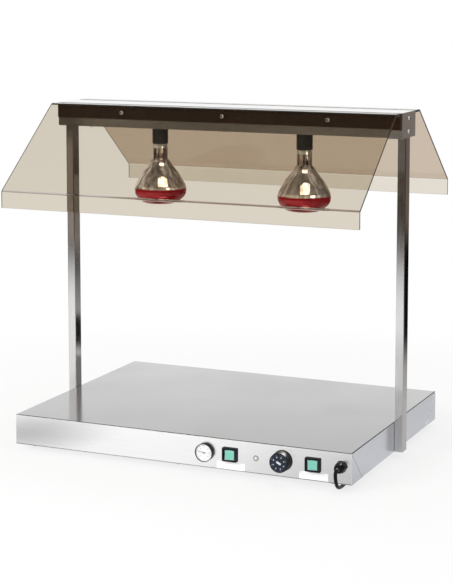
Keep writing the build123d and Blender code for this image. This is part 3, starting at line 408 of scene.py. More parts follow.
def coilPoints():
    # turns spiral in on the lower layer, climb at the middle and spiral out on the upper one
    radius, step = cordSet["coilRadius"], cordSet["coilStep"]
    rate = cordSet["coilPitch"] / (2 * pi)
    skew = atan(rate / radius)
    whole = 2 * pi * cordSet["wholeTurns"] + pi / 2 + 2 * skew
    half = whole / 2
    straight = 2 * cordSet["radius"]
    entry = Vector(cordSet["route"][-1]) + Vector((0, straight, 0))
    centre = entry - Vector((radius * cos(skew), -radius * sin(skew), 0))
    climbSpan = whole / cordSet["climbParts"]
    count = round(cordSet["pointsPerTurn"] * whole / (2 * pi))
    points = []
    for number in range(count + 1):
        turn = whole * number / count
        reach = radius - rate * (half - abs(turn - half))
        share = min(1, max(0, 0.5 + (turn - half) / climbSpan))
        lift = step * share * share * (3 - 2 * share)
        points.append(centre + Vector((reach * cos(turn - skew), reach * sin(turn - skew), lift)))
    points.append(points[-1] - Vector((straight, 0, 0)))
    return points


def makeCord():
    curve = bpy.data.curves.new("mainsCord", "CURVE")
    curve.dimensions = "3D"
    spline = curve.splines.new("NURBS")
    points = [Vector(p) for p in cordSet["route"]] + coilPoints()
    spline.points.add(len(points) - 1)
    for target, point in zip(spline.points, points):
        target.co = (*(point * mm), 1)
    spline.order_u = 3
    spline.use_endpoint_u = True
    spline.resolution_u = cordSet["smoothness"]
    curve.bevel_depth = cordSet["radius"] * mm
    curve.bevel_resolution = cordSet["roundness"]
    curve.use_fill_caps = True
    curve.materials.append(cordRubber)
    cord = bpy.data.objects.new("mainsCord", curve)
    scene.collection.objects.link(cord)
    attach(cord, "cabinet")
    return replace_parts(cord, "power_cord", "cord_coil")


cordRubber = finish("cordRubber", (0.005, 0.005, 0.006), (0.010, 0.010, 0.012), (0.24, 0.36), 900,
                    height=0.00003, Specular_IOR_Level=0.12)
cordPiece = makeCord()
print("cord laid")


# Studio: a white sheet on the floor, a bright backdrop behind on the left, a dim room elsewhere
studioSet = {
    "skyLevel": 0.50,  # what lights matt surfaces
    "roomHeights": [  # steepness of a reflected ray, -1 down to 1 up, and what it sees
        (-1.0, 0.07), (0.0, 0.07), (0.10, 0.25), (0.22, 0.85), (0.36, 0.75), (0.55, 0.30), (0.75, 0.08),
        (1.0, 0.05),
    ],
    "cornerHeights": [  # the same towards the corner behind on the right
        (-1.0, 0.12), (0.0, 0.12), (0.10, 0.25), (0.16, 0.34), (0.24, 0.22), (0.36, 0.18), (0.60, 0.10),
        (1.0, 0.05),
    ],
    "backHeights": [  # the same towards the backdrop
        (-1.0, 0.95), (0.0, 1.0), (0.17, 0.95), (0.22, 0.82), (0.245, 0.68), (0.27, 0.49), (0.36, 0.33),
        (0.60, 0.20), (1.0, 0.10),
    ],
    "skyline": 0.12,  # steepness below which the room is a warm brown
    "roomTint": (1.0, 0.74, 0.54),
    "backWay": (-0.45, 0.89, 0.0),
    "backRange": (0.70, 0.93),
    "cornerWay": (0.45, 0.89, 0.0),
    "cornerRange": (0.55, 0.80),
    "floorReach": 3.0,  # metres
    "floorDrop": 0.2,  # mm below the feet
    "floorSides": 96,
    "mattFloor": (0.80, 0.80, 0.80),  # the floor as matt surfaces see it
    "floorGlow": 0.76,  # light of its own
    "floorTone": 0.20,  # what it gives back of the lamps' light
    "fade": (0.60, 1.4),  # metres from the middle, over which the floor joins the backdrop
    "poolCentre": (-0.60, -1.20, 0.0),
    "poolStretch": (0.8, 0.7, 1.0),
    "pool": [  # share of floorReach from the pool's centre, and how bright reflections see the floor there
        (0.0, 1.12), (0.15, 1.10), (0.21, 1.07), (0.26, 1.06), (0.31, 1.00), (0.35, 0.70), (0.50, 0.60),
        (0.67, 0.35), (0.85, 0.12), (1.0, 0.07),
    ],
    "dims": [  # centre, distances from it in metres, and the share of the floor's light left at each
        ((-0.47, -0.47, 0.0), (0.05, 0.50), (0.22, 1.0)),
        ((0.38, -0.48, 0.0), (0.05, 0.64), (0.42, 1.0)),
        ((0.16, -1.00, 0.0), (0.10, 0.80), (0.40, 1.0)),
        ((0.0, 0.0, 0.0), (1.90, 1.0), (2.90, 0.42)),
    ],
    "boardFade": (0.65, 1.0),  # shares of a board's half size, over which its edge dissolves
    "boards": [  # boards that only reflections see: middle, width and height, tone
        ((0.80, 0.85, 0.22), (0.60, 0.44), (0.004, 0.004, 0.004)),
        ((-0.06, 0.70, 0.06), (0.36, 0.12), (0.004, 0.004, 0.004)),
        ((-0.22, 0.35, 0.545), (0.24, 0.47), (0.27, 0.235, 0.21)),
        ((-0.62, -0.36, 0.53), (0.24, 0.36), (0.55, 0.47, 0.41)),
    ],
}
lamps = {  # size in metres, wide and high
    # a lamp with matt lights matt surfaces alone where it is True, gloss and glass alone where it is False
    # a lamp with only lights nothing but the shiny black pieces
    "frontLeftBox": {"at": (-1.4, -2.8, 1.5), "aim": (0, 0, 0.35), "size": (1.6, 1.6), "power": 74,
                     "matt": True},
    "topBox": {"at": (0.1, 0.3, 2.7), "aim": (0, 0, 0.3), "size": (2.0, 2.0), "power": 26, "matt": True},
    "rightBox": {"at": (2.6, -1.5, 1.7), "aim": (0, 0, 0.4), "size": (1.2, 1.2), "power": 16},
    "bulbBox": {"at": (0.72, -1.05, 2.15), "aim": (0, 0, 0.62), "size": (1.5, 0.7), "power": 13,
                "matt": False},
    "controlsBox": {"at": (0.40, 1.15, 1.35), "aim": (0.30, -0.32, 0.06), "size": (0.9, 0.9), "power": 150,
                    "matt": False, "only": True},
}


def reflectedRays(tree):
    # 1 for rays that came off a glossy surface, and 1 for rays straight from the camera or through glass
    rays = addNode(tree, "LightPath").outputs
    reflected = maths(tree, "MULTIPLY", rays["Is Glossy Ray"], rays["Glossy Depth"])
    straight = maths(tree, "MAXIMUM", rays["Is Camera Ray"], rays["Is Transmission Ray"])
    return reflected, straight


def makeWorld():
    world = bpy.data.worlds.new("studioRoom")
    world.use_nodes = True
    scene.world = world
    tree = world.node_tree
    white = tree.nodes["Background"]
    sky, room, back, corner = (addNode(tree, "Background") for _ in range(4))
    for light, strength in ((white, 1.0), (sky, studioSet["skyLevel"])):
        setSockets(light, {"Color": (*white3, 1), "Strength": strength})
    coords = addNode(tree, "TexCoord")
    parts = addNode(tree, "SeparateXYZ", Vector=coords.outputs["Generated"])
    steepness = spread(tree, parts.outputs["Z"], 0, 1, -1, 1)
    brown = studioSet["roomTint"]
    for side, name, lowTint in ((room, "room", brown), (back, "back", white3), (corner, "corner", brown)):
        stops = [((height + 1) / 2, level, lowTint if height < studioSet["skyline"] else white3)
                 for height, level in studioSet[name + "Heights"]]
        feed(tree, side, Color=levels(tree, steepness, stops))
    around = room.outputs["Background"]
    for side, name in ((corner, "corner"), (back, "back")):
        toward = addNode(tree, "VectorMath", Vector=coords.outputs["Generated"])
        toward.operation = "DOT_PRODUCT"
        toward.inputs[1].default_value = studioSet[name + "Way"]
        share = spread(tree, toward.outputs["Value"], 0, 1, *studioSet[name + "Range"])
        around = blendShaders(tree, share, around, side.outputs["Background"])
    reflected, straight = reflectedRays(tree)
    plain = blendShaders(tree, straight, sky.outputs["Background"], white.outputs["Background"])
    feed(tree, tree.nodes["World Output"], Surface=blendShaders(tree, reflected, plain, around))


def glowAndShade(tree, glowColour=None, shadeColour=None):
    # a surface that is partly lit by itself, so that the object's shadow on it stays soft
    glow, shade, both = (addNode(tree, kind) for kind in ("Emission", "BsdfDiffuse", "AddShader"))
    if glowColour:
        feed(tree, glow, Color=glowColour)
        feed(tree, shade, Color=shadeColour)
    else:
        glow.inputs["Strength"].default_value = studioSet["floorGlow"]
        shade.inputs["Color"].default_value = (*[studioSet["floorTone"]] * 3, 1)
    tree.links.new(glow.outputs["Emission"], both.inputs[0])
    tree.links.new(shade.outputs["BSDF"], both.inputs[1])
    return both.outputs["Shader"]


def dimmed(tree):
    # the floor's brightness as reflections see it, as a share of the pool's
    share = None
    for centre, (near, nearShare), (far, farShare) in studioSet["dims"]:
        part = spread(tree, distanceFrom(tree, centre), nearShare, farShare, near, far)
        share = maths(tree, "MULTIPLY", share, part) if share else part
    return share


noGloss = {"Roughness": 1.0, "Specular IOR Level": 0.0}


def makeFloor():
    bm = bmesh.new()
    lowered = Matrix.Translation((0, 0, -studioSet["floorDrop"] * mm))
    bmesh.ops.create_circle(bm, cap_ends=True, segments=studioSet["floorSides"],
                            radius=studioSet["floorReach"], matrix=lowered)
    material, tree, matt = newMaterial("paleFloor")
    setSockets(matt, {"Base Color": (*studioSet["mattFloor"], 1), **noGloss})
    plain = addNode(tree, "Emission").outputs["Emission"]
    dark = addNode(tree, "Emission", {"Strength": 0.0}).outputs["Emission"]
    share = spread(tree, distanceFrom(tree, (0, 0, 0)), 0, 1, *studioSet["fade"])
    sheet = blendShaders(tree, share, glowAndShade(tree), plain)
    pool = distanceFrom(tree, studioSet["poolCentre"], studioSet["poolStretch"])
    away = spread(tree, pool, 0, 1, 0, studioSet["floorReach"])
    glowPool, shadePool = (
        levels(tree, away, [(position, level * part, white3) for position, level in studioSet["pool"]])
        for part in (studioSet["floorGlow"], studioSet["floorTone"])
    )
    sheen = blendShaders(tree, dimmed(tree), dark, glowAndShade(tree, glowPool, shadePool))
    reflected, straight = reflectedRays(tree)
    seen = blendShaders(tree, straight, matt.outputs["BSDF"], sheet)
    feed(tree, tree.nodes["Material Output"], Surface=blendShaders(tree, reflected, seen, sheen))
    meshObject(bm, "paleFloor", [material])


def makeBoard(name, middle, size, tone):
    bm = bmesh.new()
    stand = Matrix.Translation(middle) @ Matrix.Rotation(pi / 2, 4, "X")
    bmesh.ops.create_grid(bm, size=0.5, matrix=stand @ Matrix.Diagonal((*size, 1, 1)))
    material, tree, shader = newMaterial(name)
    setSockets(shader, {"Base Color": (*tone, 1), **noGloss})
    away = distanceFrom(tree, middle, (2 / size[0], 1, 2 / size[1]))
    feed(tree, shader, Alpha=spread(tree, away, 1, 0, *studioSet["boardFade"]))
    board = meshObject(bm, name, [material])
    board.visible_camera = board.visible_diffuse = False
    board.visible_transmission = board.visible_shadow = False


def makeLamp(name, lamp):
    light = bpy.data.lights.new(name, "AREA")
    light.shape = "ELLIPSE"
    light.size, light.size_y = lamp["size"]
    light.energy = lamp["power"]
    box = bpy.data.objects.new(name, light)
    box.location = lamp["at"]
    box.rotation_euler = (Vector(lamp["aim"]) - Vector(lamp["at"])).to_track_quat("-Z", "Y").to_euler()
    box.visible_camera = False
    if "matt" in lamp:
        box.visible_diffuse = lamp["matt"]
        box.visible_glossy = box.visible_transmission = not lamp["matt"]
    if "only" in lamp:
        box.light_linking.receiver_collection = shinyBlack
    scene.collection.objects.link(box)


makeWorld()
makeFloor()
for boardNumber, boardValues in enumerate(studioSet["boards"]):
    makeBoard(f"board{boardNumber}", *boardValues)
shinyBlack = bpy.data.collections.new("shinyBlack")  # what the controls' own lamp lights, filled at the end
for lampName, lampValues in lamps.items():
    makeLamp(lampName, lampValues)
print("studio lit")


# Finishes
metal = {"Metallic": 1.0}
steelDark, steelLight = (0.88, 0.88, 0.885), (0.94, 0.94, 0.945)
plateSteel = brushedSteel("plateSteel", steelDark, steelLight, (0.12, 0.15), (0.03, 1, 1), (0, 1, 0), 0.6)
panelSteel = brushedSteel("panelSteel", (0.89, 0.89, 0.89), steelLight, (0.20, 0.23), (0.03, 1, 1))
# a bluer, darker copy of the cover's steel for its sides: a painted reflection
sideSteelBlueReflection = brushedSteel("sideSteelBlueReflection", (0.83, 0.85, 0.91), (0.89, 0.91, 0.975), (0.15, 0.19), (1, 0.03, 1),
                         (0, 0, 1), 0.6)
# a darker copy of the cover's steel for its folds, lower hem and softened edges: painted shade lines
shadedFoldSteel = finish("shadedFoldSteel", (0.34, 0.34, 0.35), (0.46, 0.46, 0.47), (0.16, 0.24), 300, **metal)
# a lighter, partly matt copy of the cover's steel for folds that face the front or back: a painted highlight
highlightRimSteel = finish("highlightRimSteel", (0.88, 0.88, 0.89), (0.94, 0.94, 0.95), (0.25, 0.35), 300, Metallic=0.3)
seamShade = finish("seamShade", (0.02, 0.02, 0.022), (0.04, 0.04, 0.043), (0.5, 0.7), 300)
postSteel = brushedSteel("postSteel", (0.60, 0.59, 0.58), (0.68, 0.67, 0.665), (0.07, 0.11), (1, 1, 0.03))
gantrySteel = brushedSteel("gantrySteel", (0.74, 0.72, 0.70), (0.78, 0.76, 0.74), (0.21, 0.215), (0.03, 1, 1),
                           drift=0.01)
# a lighter, glossier copy of the gantry's steel for the channel's top: painted light
litGantryTop = brushedSteel("litGantryTop", (0.84, 0.84, 0.83), (0.88, 0.88, 0.87), (0.09, 0.10), (0.03, 1, 1),
                         drift=0.02)
zincSheet = finish("zincSheet", (0.50, 0.51, 0.53), (0.66, 0.67, 0.69), (0.35, 0.5), 60, **metal)
zincBolt = finish("zincBolt", (0.52, 0.52, 0.52), (0.66, 0.66, 0.66), (0.25, 0.4), 400, **metal)
brightBolt = finish("brightBolt", (0.74, 0.74, 0.75), (0.84, 0.84, 0.85), (0.18, 0.26), 500, Metallic=0.5)
socketShade = finish("socketShade", (0.010, 0.010, 0.010), (0.020, 0.020, 0.020), (0.6, 0.8), 500)
turnedSteel = finish("turnedSteel", (0.58, 0.58, 0.58), (0.70, 0.70, 0.70), (0.2, 0.3), 800, (1, 0.1, 1),
                     **metal)
capMetal = finish("capMetal", (0.70, 0.70, 0.68), (0.84, 0.84, 0.82), (0.2, 0.3), 300, **metal)
filamentWire = finish("filamentWire", (0.32, 0.32, 0.32), (0.5, 0.5, 0.5), (0.3, 0.45), 900, **metal)
copperTube = finish("copperTube", (0.62, 0.36, 0.22), (0.78, 0.48, 0.32), (0.25, 0.4), 300, **metal)
pinMetal = finish("pinMetal", (0.70, 0.67, 0.58), (0.82, 0.79, 0.70), (0.15, 0.28), 500, **metal)
elementSheath = finish("elementSheath", (0.16, 0.15, 0.15), (0.34, 0.32, 0.30), (0.4, 0.6), 120, **metal)
pilotMetal = finish("pilotMetal", (0.40, 0.40, 0.41), (0.54, 0.54, 0.55), (0.16, 0.26), 700, **metal)
dull = {"Specular_IOR_Level": 0.2}
blackPlastic = finish("blackPlastic", (0.007, 0.009, 0.012), (0.012, 0.014, 0.019), (0.26, 0.36), 1500,
                      height=0.00002, **dull)
glossBlack = finish("glossBlack", (0.005, 0.005, 0.006), (0.009, 0.009, 0.011), (0.14, 0.22), 900, **dull)
wetBlack = finish("wetBlack", (0.004, 0.004, 0.005), (0.007, 0.007, 0.009), (0.16, 0.24), 900,
                  Specular_IOR_Level=0.12)
plugBlack = finish("plugBlack", (0.012, 0.012, 0.012), (0.022, 0.022, 0.022), (0.36, 0.5), 1200,
                   height=0.00004)
strapBlack = finish("strapBlack", (0.008, 0.008, 0.009), (0.028, 0.028, 0.030), (0.7, 0.9), 1600,
                    height=0.0003)
holderBlack = finish("holderBlack", (0.014, 0.013, 0.012), (0.024, 0.022, 0.020), (0.28, 0.40), 1200,
                     height=0.00003)
footRubber = finish("footRubber", (0.016, 0.016, 0.016), (0.03, 0.03, 0.03), (0.6, 0.8), 700, height=0.00008)
stripRubber = finish("stripRubber", (0.050, 0.024, 0.010), (0.072, 0.036, 0.015), (0.45, 0.6), 300,
                     height=0.00004, **dull)
ceramic = finish("ceramic", (0.74, 0.71, 0.64), (0.84, 0.82, 0.76), (0.15, 0.3), 120)
thermostatCase = finish("thermostatCase", (0.05, 0.04, 0.03), (0.10, 0.08, 0.06), (0.4, 0.55), 600)
mineralWool = finish("mineralWool", (0.52, 0.46, 0.32), (0.76, 0.70, 0.54), (0.85, 1.0), 160, height=0.001)
wireCover = finish("wireCover", (0.36, 0.36, 0.34), (0.56, 0.56, 0.53), (0.5, 0.7), 500, height=0.0001)
dialWhite = finish("dialWhite", (0.92, 0.92, 0.91), (0.97, 0.97, 0.96), (0.3, 0.45), 500)
legendWhite = finish("legendWhite", (0.95, 0.95, 0.95), (0.99, 0.99, 0.99), (0.35, 0.5), 300)
needleGrey = finish("needleGrey", (0.16, 0.16, 0.17), (0.24, 0.24, 0.25), (0.35, 0.45), 700)
dialInk = finish("dialInk", (0.34, 0.34, 0.35), (0.44, 0.44, 0.45), (0.5, 0.6), 900)
knobBlack = finish("knobBlack", (0.006, 0.007, 0.009), (0.010, 0.011, 0.014), (0.42, 0.52), 1200, **dull)
knobSlate = finish("knobSlate", (0.016, 0.020, 0.032), (0.024, 0.030, 0.047), (0.45, 0.58), 700, **dull)
figureInk = finish("figureInk", (0.20, 0.22, 0.26), (0.28, 0.30, 0.34), (0.4, 0.5), 700)
knobInk = finish("knobInk", (0.62, 0.64, 0.68), (0.74, 0.76, 0.80), (0.4, 0.5), 700)
# a dark teal copy of the rocker's green for its sides: painted shade
rockerSideShade = finish("rockerSideShade", (0.010, 0.036, 0.032), (0.018, 0.056, 0.050), (0.12, 0.2), 400,
                    Coat_Weight=0.5, Coat_Roughness=0.05)
pilotClear = finish("pilotClear", (0.66, 0.67, 0.66), (0.78, 0.79, 0.78), (0.08, 0.16), 500, Coat_Weight=1.0)
smoked = {"ior": 1.49, "depthColour": (0.50, 0.355, 0.073)}
smokedSheet = clearFinish("smokedSheet", white3, (0.95, 0.95, 0.95), depthRate=107.0, **smoked)
rearSheet = clearFinish("rearSheet", white3, (0.95, 0.95, 0.95), depthRate=80.0, **smoked)
# a darker, warmer glass for the rear guard's slope than for the rest of the same sheet: painted shade
rearSlopeShaded = clearFinish("rearSlopeShaded", (0.79, 0.70, 0.64), (0.88, 0.85, 0.84), depthRate=80.0, **smoked)
# darker glass for the guards' bends: painted shade lines
smokedBendShade = clearFinish("smokedBendShade", (0.42, 0.37, 0.32), (0.6, 0.55, 0.5), smoked["ior"])
rearBendShade = clearFinish("rearBendShade", (0.84, 0.78, 0.72), (0.8, 0.8, 0.8), smoked["ior"])
smokedEdge = finish("smokedEdge", (0.020, 0.013, 0.009), (0.050, 0.034, 0.023), (0.15, 0.3), 500)
clearGlass = clearFinish("clearGlass", (0.98, 0.98, 0.98), (0.96, 0.96, 0.96), 1.45)

nodeFinish = {
    zincSheet: ["bottom_plate", "element_clamps"],
    zincBolt: ["sheet_screws", "hex_nuts", "upright_bolts", "thermostat_screws", "foot_screws"],
    postSteel: ["left_upright", "right_upright"],
    gantrySteel: ["gantry_cover"],
    blackPlastic: ["upright_plugs", "gland_lock_nut"],
    needleGrey: ["thermometer_needle"],
    copperTube: ["thermometer_probe", "thermostat_probe"],
    thermostatCase: ["thermostat_body"],
    turnedSteel: ["thermostat_shaft"],
    elementSheath: ["heating_element"],
    mineralWool: ["insulation_slab"],
    ceramic: ["terminal_block", "left_lamp_socket", "right_lamp_socket"],
    wireCover: ["base_wiring", "lamp_wiring"],
    capMetal: ["left_lamp_cap", "right_lamp_cap"],
    filamentWire: ["left_lamp_filament", "right_lamp_filament"],
}
for nodeMaterial, nodeNames in nodeFinish.items():
    for nodeName in nodeNames:
        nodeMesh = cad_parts[nodeName].data
        nodeMesh.materials.clear()
        nodeMesh.materials.append(nodeMaterial)
print("finishes set on the frame's own nodes")


# Steel cover, gantry box, end caps and feet: the frame's shapes with softened edges
edgeWidths = {  # mm
    "gantryBox": 0.6,
    "leftEndCap": 0.4,
    "rightEndCap": 0.4,
    "rubberFeet": 0.8,
    "plugPins": 0.9,
    "cordTie": 0.4,
}


def dressed(node, name, material):
    return softenEdges(makePiece(mergedCopy(node), name, [material], [node]), edgeWidths[name])


coverSet = {
    "hem": 2.0,  # mm, the strip along the lower edge of the front and back, painted with the shaded fold steel where the real edge is rounded: painted shade
    "edge": 0.5,
    "square": 0.985,  # how squarely a wall faces along its axis; the rest is folds
    "seamX": 415.2,  # mm, outside which the corner tabs lie
    "seamShadow": 0.9,
    "corner": 1.6,  # radius of the upright corners
    "shine": (0.60, 0.90),  # how squarely upright and level folds face the front or back where they get the rim steel's painted highlight
    "upright": 0.1,  # how far an upright fold may face up
    "cutFacing": 0.1,  # how far the cut edge of a corner tab may face sideways
}
coverSteels = {
    "plate": plateSteel,
    "panel": panelSteel,
    "side": sideSteelBlueReflection,
    "shadedFold": shadedFoldSteel,
    "seamShadow": seamShade,
    "rim": highlightRimSteel,
}


def steelIndex(steel):
    return list(coverSteels).index(steel)


def squareTo(face):
    return [abs(part) > coverSet["square"] for part in face.normal]


def isTab(face):
    return abs(face.calc_center_median().x) > coverSet["seamX"] * mm


def paintSeamShadow(bm, middle, way):
    # a painted shadow line along the cut edge of one corner tab, on its outer face
    line = middle - way * coverSet["seamShadow"] * mm
    tab = [f for f in bm.faces if squareTo(f)[0] and isTab(f)
           and f.normal.x * middle.x > 0 and f.calc_center_median().y * middle.y > 0]
    parts = {part for f in tab for part in (*f.verts, *f.edges)}
    split = bmesh.ops.bisect_plane(bm, geom=[*parts, *tab], dist=cutPlace, plane_co=line, plane_no=way)
    for face in (part for part in split["geom"] if isinstance(part, bmesh.types.BMFace)):
        if (face.calc_center_median() - line).dot(way) > 0:
            face.material_index = steelIndex("seamShadow")


def makeCover():
    low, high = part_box("top_cover")
    bm = mergedCopy("top_cover")
    sides = [v for v in bm.verts if abs(v.co.x) > high.x - onFace]
    corners = [v for v in sides if abs(v.co.y) > high.y - onFace]
    roundOff(bm, edgesOf(corners, runsAlong(2)), coverSet["corner"])
    hemLine = low.z + coverSet["hem"] * mm
    everything = bm.verts[:] + bm.edges[:] + bm.faces[:]
    bmesh.ops.bisect_plane(bm, geom=everything, dist=cutPlace, plane_co=(0, 0, hemLine), plane_no=(0, 0, 1))
    for face in bm.faces:
        facing = squareTo(face)
        hem = facing[1] and face.calc_center_median().z < hemLine
        level = abs(face.normal.z) > coverSet["upright"]
        steel = "rim" if abs(face.normal.y) > coverSet["shine"][level] and not hem else "shadedFold"
        if any(facing) and not hem:
            steel = ("side", "panel", "plate")[facing.index(True)]
        face.material_index = steelIndex(steel)
    tabs = [f for f in bm.faces if isTab(f) and not any(squareTo(f))]
    for cut in [f for f in tabs if abs(f.normal.x) < coverSet["cutFacing"]]:
        front = cut.calc_center_median().y < 0
        # the rear cut edges take the rim steel's painted highlight
        cut.material_index = steelIndex("side" if front else "rim")
        if front:
            paintSeamShadow(bm, cut.calc_center_median(), cut.normal.copy())
    cover = makePiece(bm, "hotPlateCover", coverSteels.values(), ["top_cover"])
    # the softened edges take the shaded fold steel: painted shade lines
    softenEdges(cover, coverSet["edge"]).modifiers["softEdges"].material = steelIndex("shadedFold")
    flatten(cover)


def makeGantryBox():
    bm = mergedCopy("gantry_channel")
    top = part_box("gantry_channel")[1].z - onFace
    # the top faces take the lighter steel: painted light
    for face in bm.faces:
        face.material_index = int(face.calc_center_median().z > top)
    box = makePiece(bm, "gantryBox", [gantrySteel, litGantryTop], ["gantry_channel"])
    flatten(softenEdges(box, edgeWidths["gantryBox"]))


makeCover()
makeGantryBox()
for capSide in ("left", "right"):
    flatten(dressed(capSide + "_end_cap", capSide + "EndCap", gantrySteel))
dressed("rubber_feet", "rubberFeet", footRubber)
print("cover, gantry box, end caps and feet made")


# Food guards: the bent sheets, with their cut edges darker than their faces, and their bends in a darker
# glass as painted shade lines
guardSet = {
    "square": 0.9,  # how squarely a cut faces along its axis
    "lipArea": 0.006,  # square metres, under which a face that looks down is the lip's cut edge
    "bends": (0.02, 0.98),  # how squarely the bends face the front or back
    "slope": (0.60, 0.63),  # the same for the slope between them
}


def makeGuard(node, name, sheet, slopeFinish, bendShadeFinish):
    low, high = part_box(node)
    bm = mergedCopy(node)
    finishes = {"sheet": sheet, "cut": smokedEdge, "shadedBend": bendShadeFinish, "slope": slopeFinish}
    levelEnd, uprightStart = guardSet["bends"]
    slopeStart, slopeEnd = guardSet["slope"]
    for face in bm.faces:
        middle, tilt = face.calc_center_median(), abs(face.normal.y)
        atEnd = min(middle.x - low.x, high.x - middle.x) < onFace
        endCut = abs(face.normal.x) > guardSet["square"] and atEnd
        lipCut = face.normal.z < -guardSet["square"] and face.calc_area() < guardSet["lipArea"]
        kind = "shadedBend" if levelEnd < tilt < uprightStart else "sheet"
        if slopeStart <= tilt <= slopeEnd:
            kind = "slope"
        if endCut or lipCut:
            kind = "cut"
        face.material_index = list(finishes).index(kind)
    flatten(makePiece(bm, name, finishes.values(), [node]))


gasketSet = {
    "squeeze": 0.15,  # mm lost on each face between the guard and the steel
    "edge": 0.3,
}


def makeGasket(node, name):
    bm = bmesh.new()
    low, high = (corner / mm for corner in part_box(node))
    squeezed = Vector((0, gasketSet["squeeze"], 0))
    strip = block(bm, low + squeezed, high - squeezed)
    roundOff(bm, edgesOf(strip, runsAlong(0)), gasketSet["edge"])
    makePiece(bm, name, [stripRubber], [node])


makeGasket("front_gasket", "frontGasket")
makeGasket("rear_gasket", "rearGasket")
makeGuard("front_guard", "frontGuard", smokedSheet, smokedSheet, smokedBendShade)
makeGuard("rear_guard", "rearGuard", rearSheet, rearSlopeShaded, rearBendShade)
print("food guards made")


# Reflector lamps and their holders
lampSet = {
    "holderBottom": 701.0,  # mm
    "glass": [  # radius, depth below the holder
        (0.0, -28.7), (9.0, -28.7), (12.0, -20.7), (16.5, -14.0), (16.5, 0.6), (17.8, 2.2), (17.8, 36.0),
        (25.0, 43.5), (29.0, 51.5), (47.5, 74.5), (63.5, 105.0), (60.5, 125.0), (40.0, 141.5), (0.0, 141.5),
    ],
    "glassBends": {6: 4.0, 7: 12.0, 8: 14.0, 9: 60.0, 10: 25.0, 11: 22.0, 12: 30.0},  # radius at a corner
    "clearBand": (10.0, 0.8),  # depth of each band's lower edge, and how far it is blurred
    "neckBand": (42.0, 5.0),
    "silverBand": (106.5, 0.5),
    "reflectionStreaks": (280, (1, 1, 0.03)),  # scale, stretch and detail of the noise; the streaks and ripples draw painted reflections in the silver
    "clouds": (34,),
    "reflectionRipples": (90, (1, 1, 0.25), 4),
    "clearTones": ((0.76, 0.74, 0.70), (0.88, 0.86, 0.82)),
    "neckReflectionTones": ((0.03, 0.025, 0.022), (0.66, 0.54, 0.48), 0.40, 0.52),
    "coneReflectionTones": ((0.50, 0.43, 0.39), (1.0, 0.90, 0.85), 0.38, 0.58),
    "rubyTones": ((0.26, 0.001, 0.006), (0.46, 0.004, 0.016)),
    "metallic": (0.30, 0.86),  # of the ruby part and of the silver
    "rough": (0.06, 0.14),
    "holder": [  # radius, height above the holder's lower edge
        (17.0, 30.0), (17.0, 0.0), (18.2, 0.0), (19.0, 0.8), (19.0, 6.0), (18.4, 6.6), (18.4, 8.0),
        (19.0, 8.6), (19.0, 40.2), (26.0, 40.2), (26.0, 42.2), (19.0, 42.2), (19.0, 52.2), (4.0, 52.2),
        (4.0, 50.2), (17.0, 50.2), (17.0, 30.0),
    ],
}


def bulbGlass():
    # clear just under the holder, silvered inside down to its widest ring, ruby below that
    material, tree, shader = newMaterial("bulbGlass")
    setSockets(shader, {"Coat Weight": 0.4, "Coat Roughness": 0.03, "Specular IOR Level": 0.3})
    height = addNode(tree, "SeparateXYZ", Vector=objectCoords(tree)).outputs["Z"]

    def above(depth, blur):
        line = lampSet["holderBottom"] - depth
        return spread(tree, height, 0, 1, (line - blur) * mm, (line + blur) * mm)

    # the dark streaks on the neck and the mottles on the cone are painted reflections
    reflectionStreaks, clouds, reflectionRipples = (noiseOn(tree, *lampSet[grain]) for grain in ("reflectionStreaks", "clouds", "reflectionRipples"))
    silver = above(*lampSet["silverBand"])
    cone = tones(tree, reflectionRipples, *lampSet["coneReflectionTones"])
    neck = tones(tree, reflectionStreaks, *lampSet["neckReflectionTones"])
    ruby = tones(tree, clouds, *lampSet["rubyTones"])
    clear = tones(tree, clouds, *lampSet["clearTones"])
    colour = blendColours(tree, above(*lampSet["neckBand"]), cone, neck)
    colour = blendColours(tree, silver, ruby, colour)
    colour = blendColours(tree, above(*lampSet["clearBand"]), colour, clear)
    feed(tree, shader, Base_Color=colour, Metallic=spread(tree, silver, *lampSet["metallic"], 0, 1),
         Roughness=spread(tree, clouds, *lampSet["rough"]))
    return material


def makeLampAndHolder(side):
    bulb, holder = side + "_lamp_bulb", side + "_lamp_holder"
    place = Matrix.Translation((middleOf(bulb).x, 0, 0))
    bottom = lampSet["holderBottom"]
    glassLine = [(radius, bottom - depth) for radius, depth in lampSet["glass"]]
    glass = spun(glassLine, lampSet["glassBends"], steps=96, arcSteps=10)
    makePiece(glass, side + "LampBulb", [bulbMaterial], [bulb], matrix=place, sharp=60)
    cup = spun([(radius, bottom + height) for radius, height in lampSet["holder"]])
    makePiece(cup, side + "LampHolder", [holderBlack], [holder], matrix=place)


bulbMaterial = bulbGlass()
for lampSide in ("left", "right"):
    makeLampAndHolder(lampSide)
print("lamps made")


# Dial thermometer
thermometerSet = {
    "case": [  # radius and height in front of the panel, in mm
        (0.0, 7.6), (19.5, 7.6), (19.5, 10.3), (19.8, 10.3), (19.8, 11.7), (20.0, 12.0), (20.8, 12.0),
        (20.8, 0.0), (18.0, 0.0), (18.0, -20.0), (0.0, -20.0),
    ],
    "caseBends": {6: 0.6},  # radius at a corner
    "dial": [(0.0, 8.2), (19.4, 8.2), (19.4, 7.6), (0.0, 7.6)],
    "lens": [(0.0, 11.9), (10.0, 11.75), (17.5, 11.4), (19.7, 11.1), (19.7, 10.3), (0.0, 10.3)],
    "figures": ["0", "20", "40", "60", "80", "100", "120"],
    "figureHeight": 3.6,
    "figureReach": 11.2,
    "firstAngle": 225.0,  # degrees, anticlockwise from the right
    "sweep": 270.0,
    "ticks": 25,
    "longEvery": 4,
    "tickHalf": 0.16,
    "tickReach": (14.2, 15.4, 16.8),  # start of a long tick, start of a short one, end of both
    "print": 0.06,  # thickness
}


def aroundDial(number, count):
    return radians(thermometerSet["firstAngle"] - thermometerSet["sweep"] * number / (count - 1))


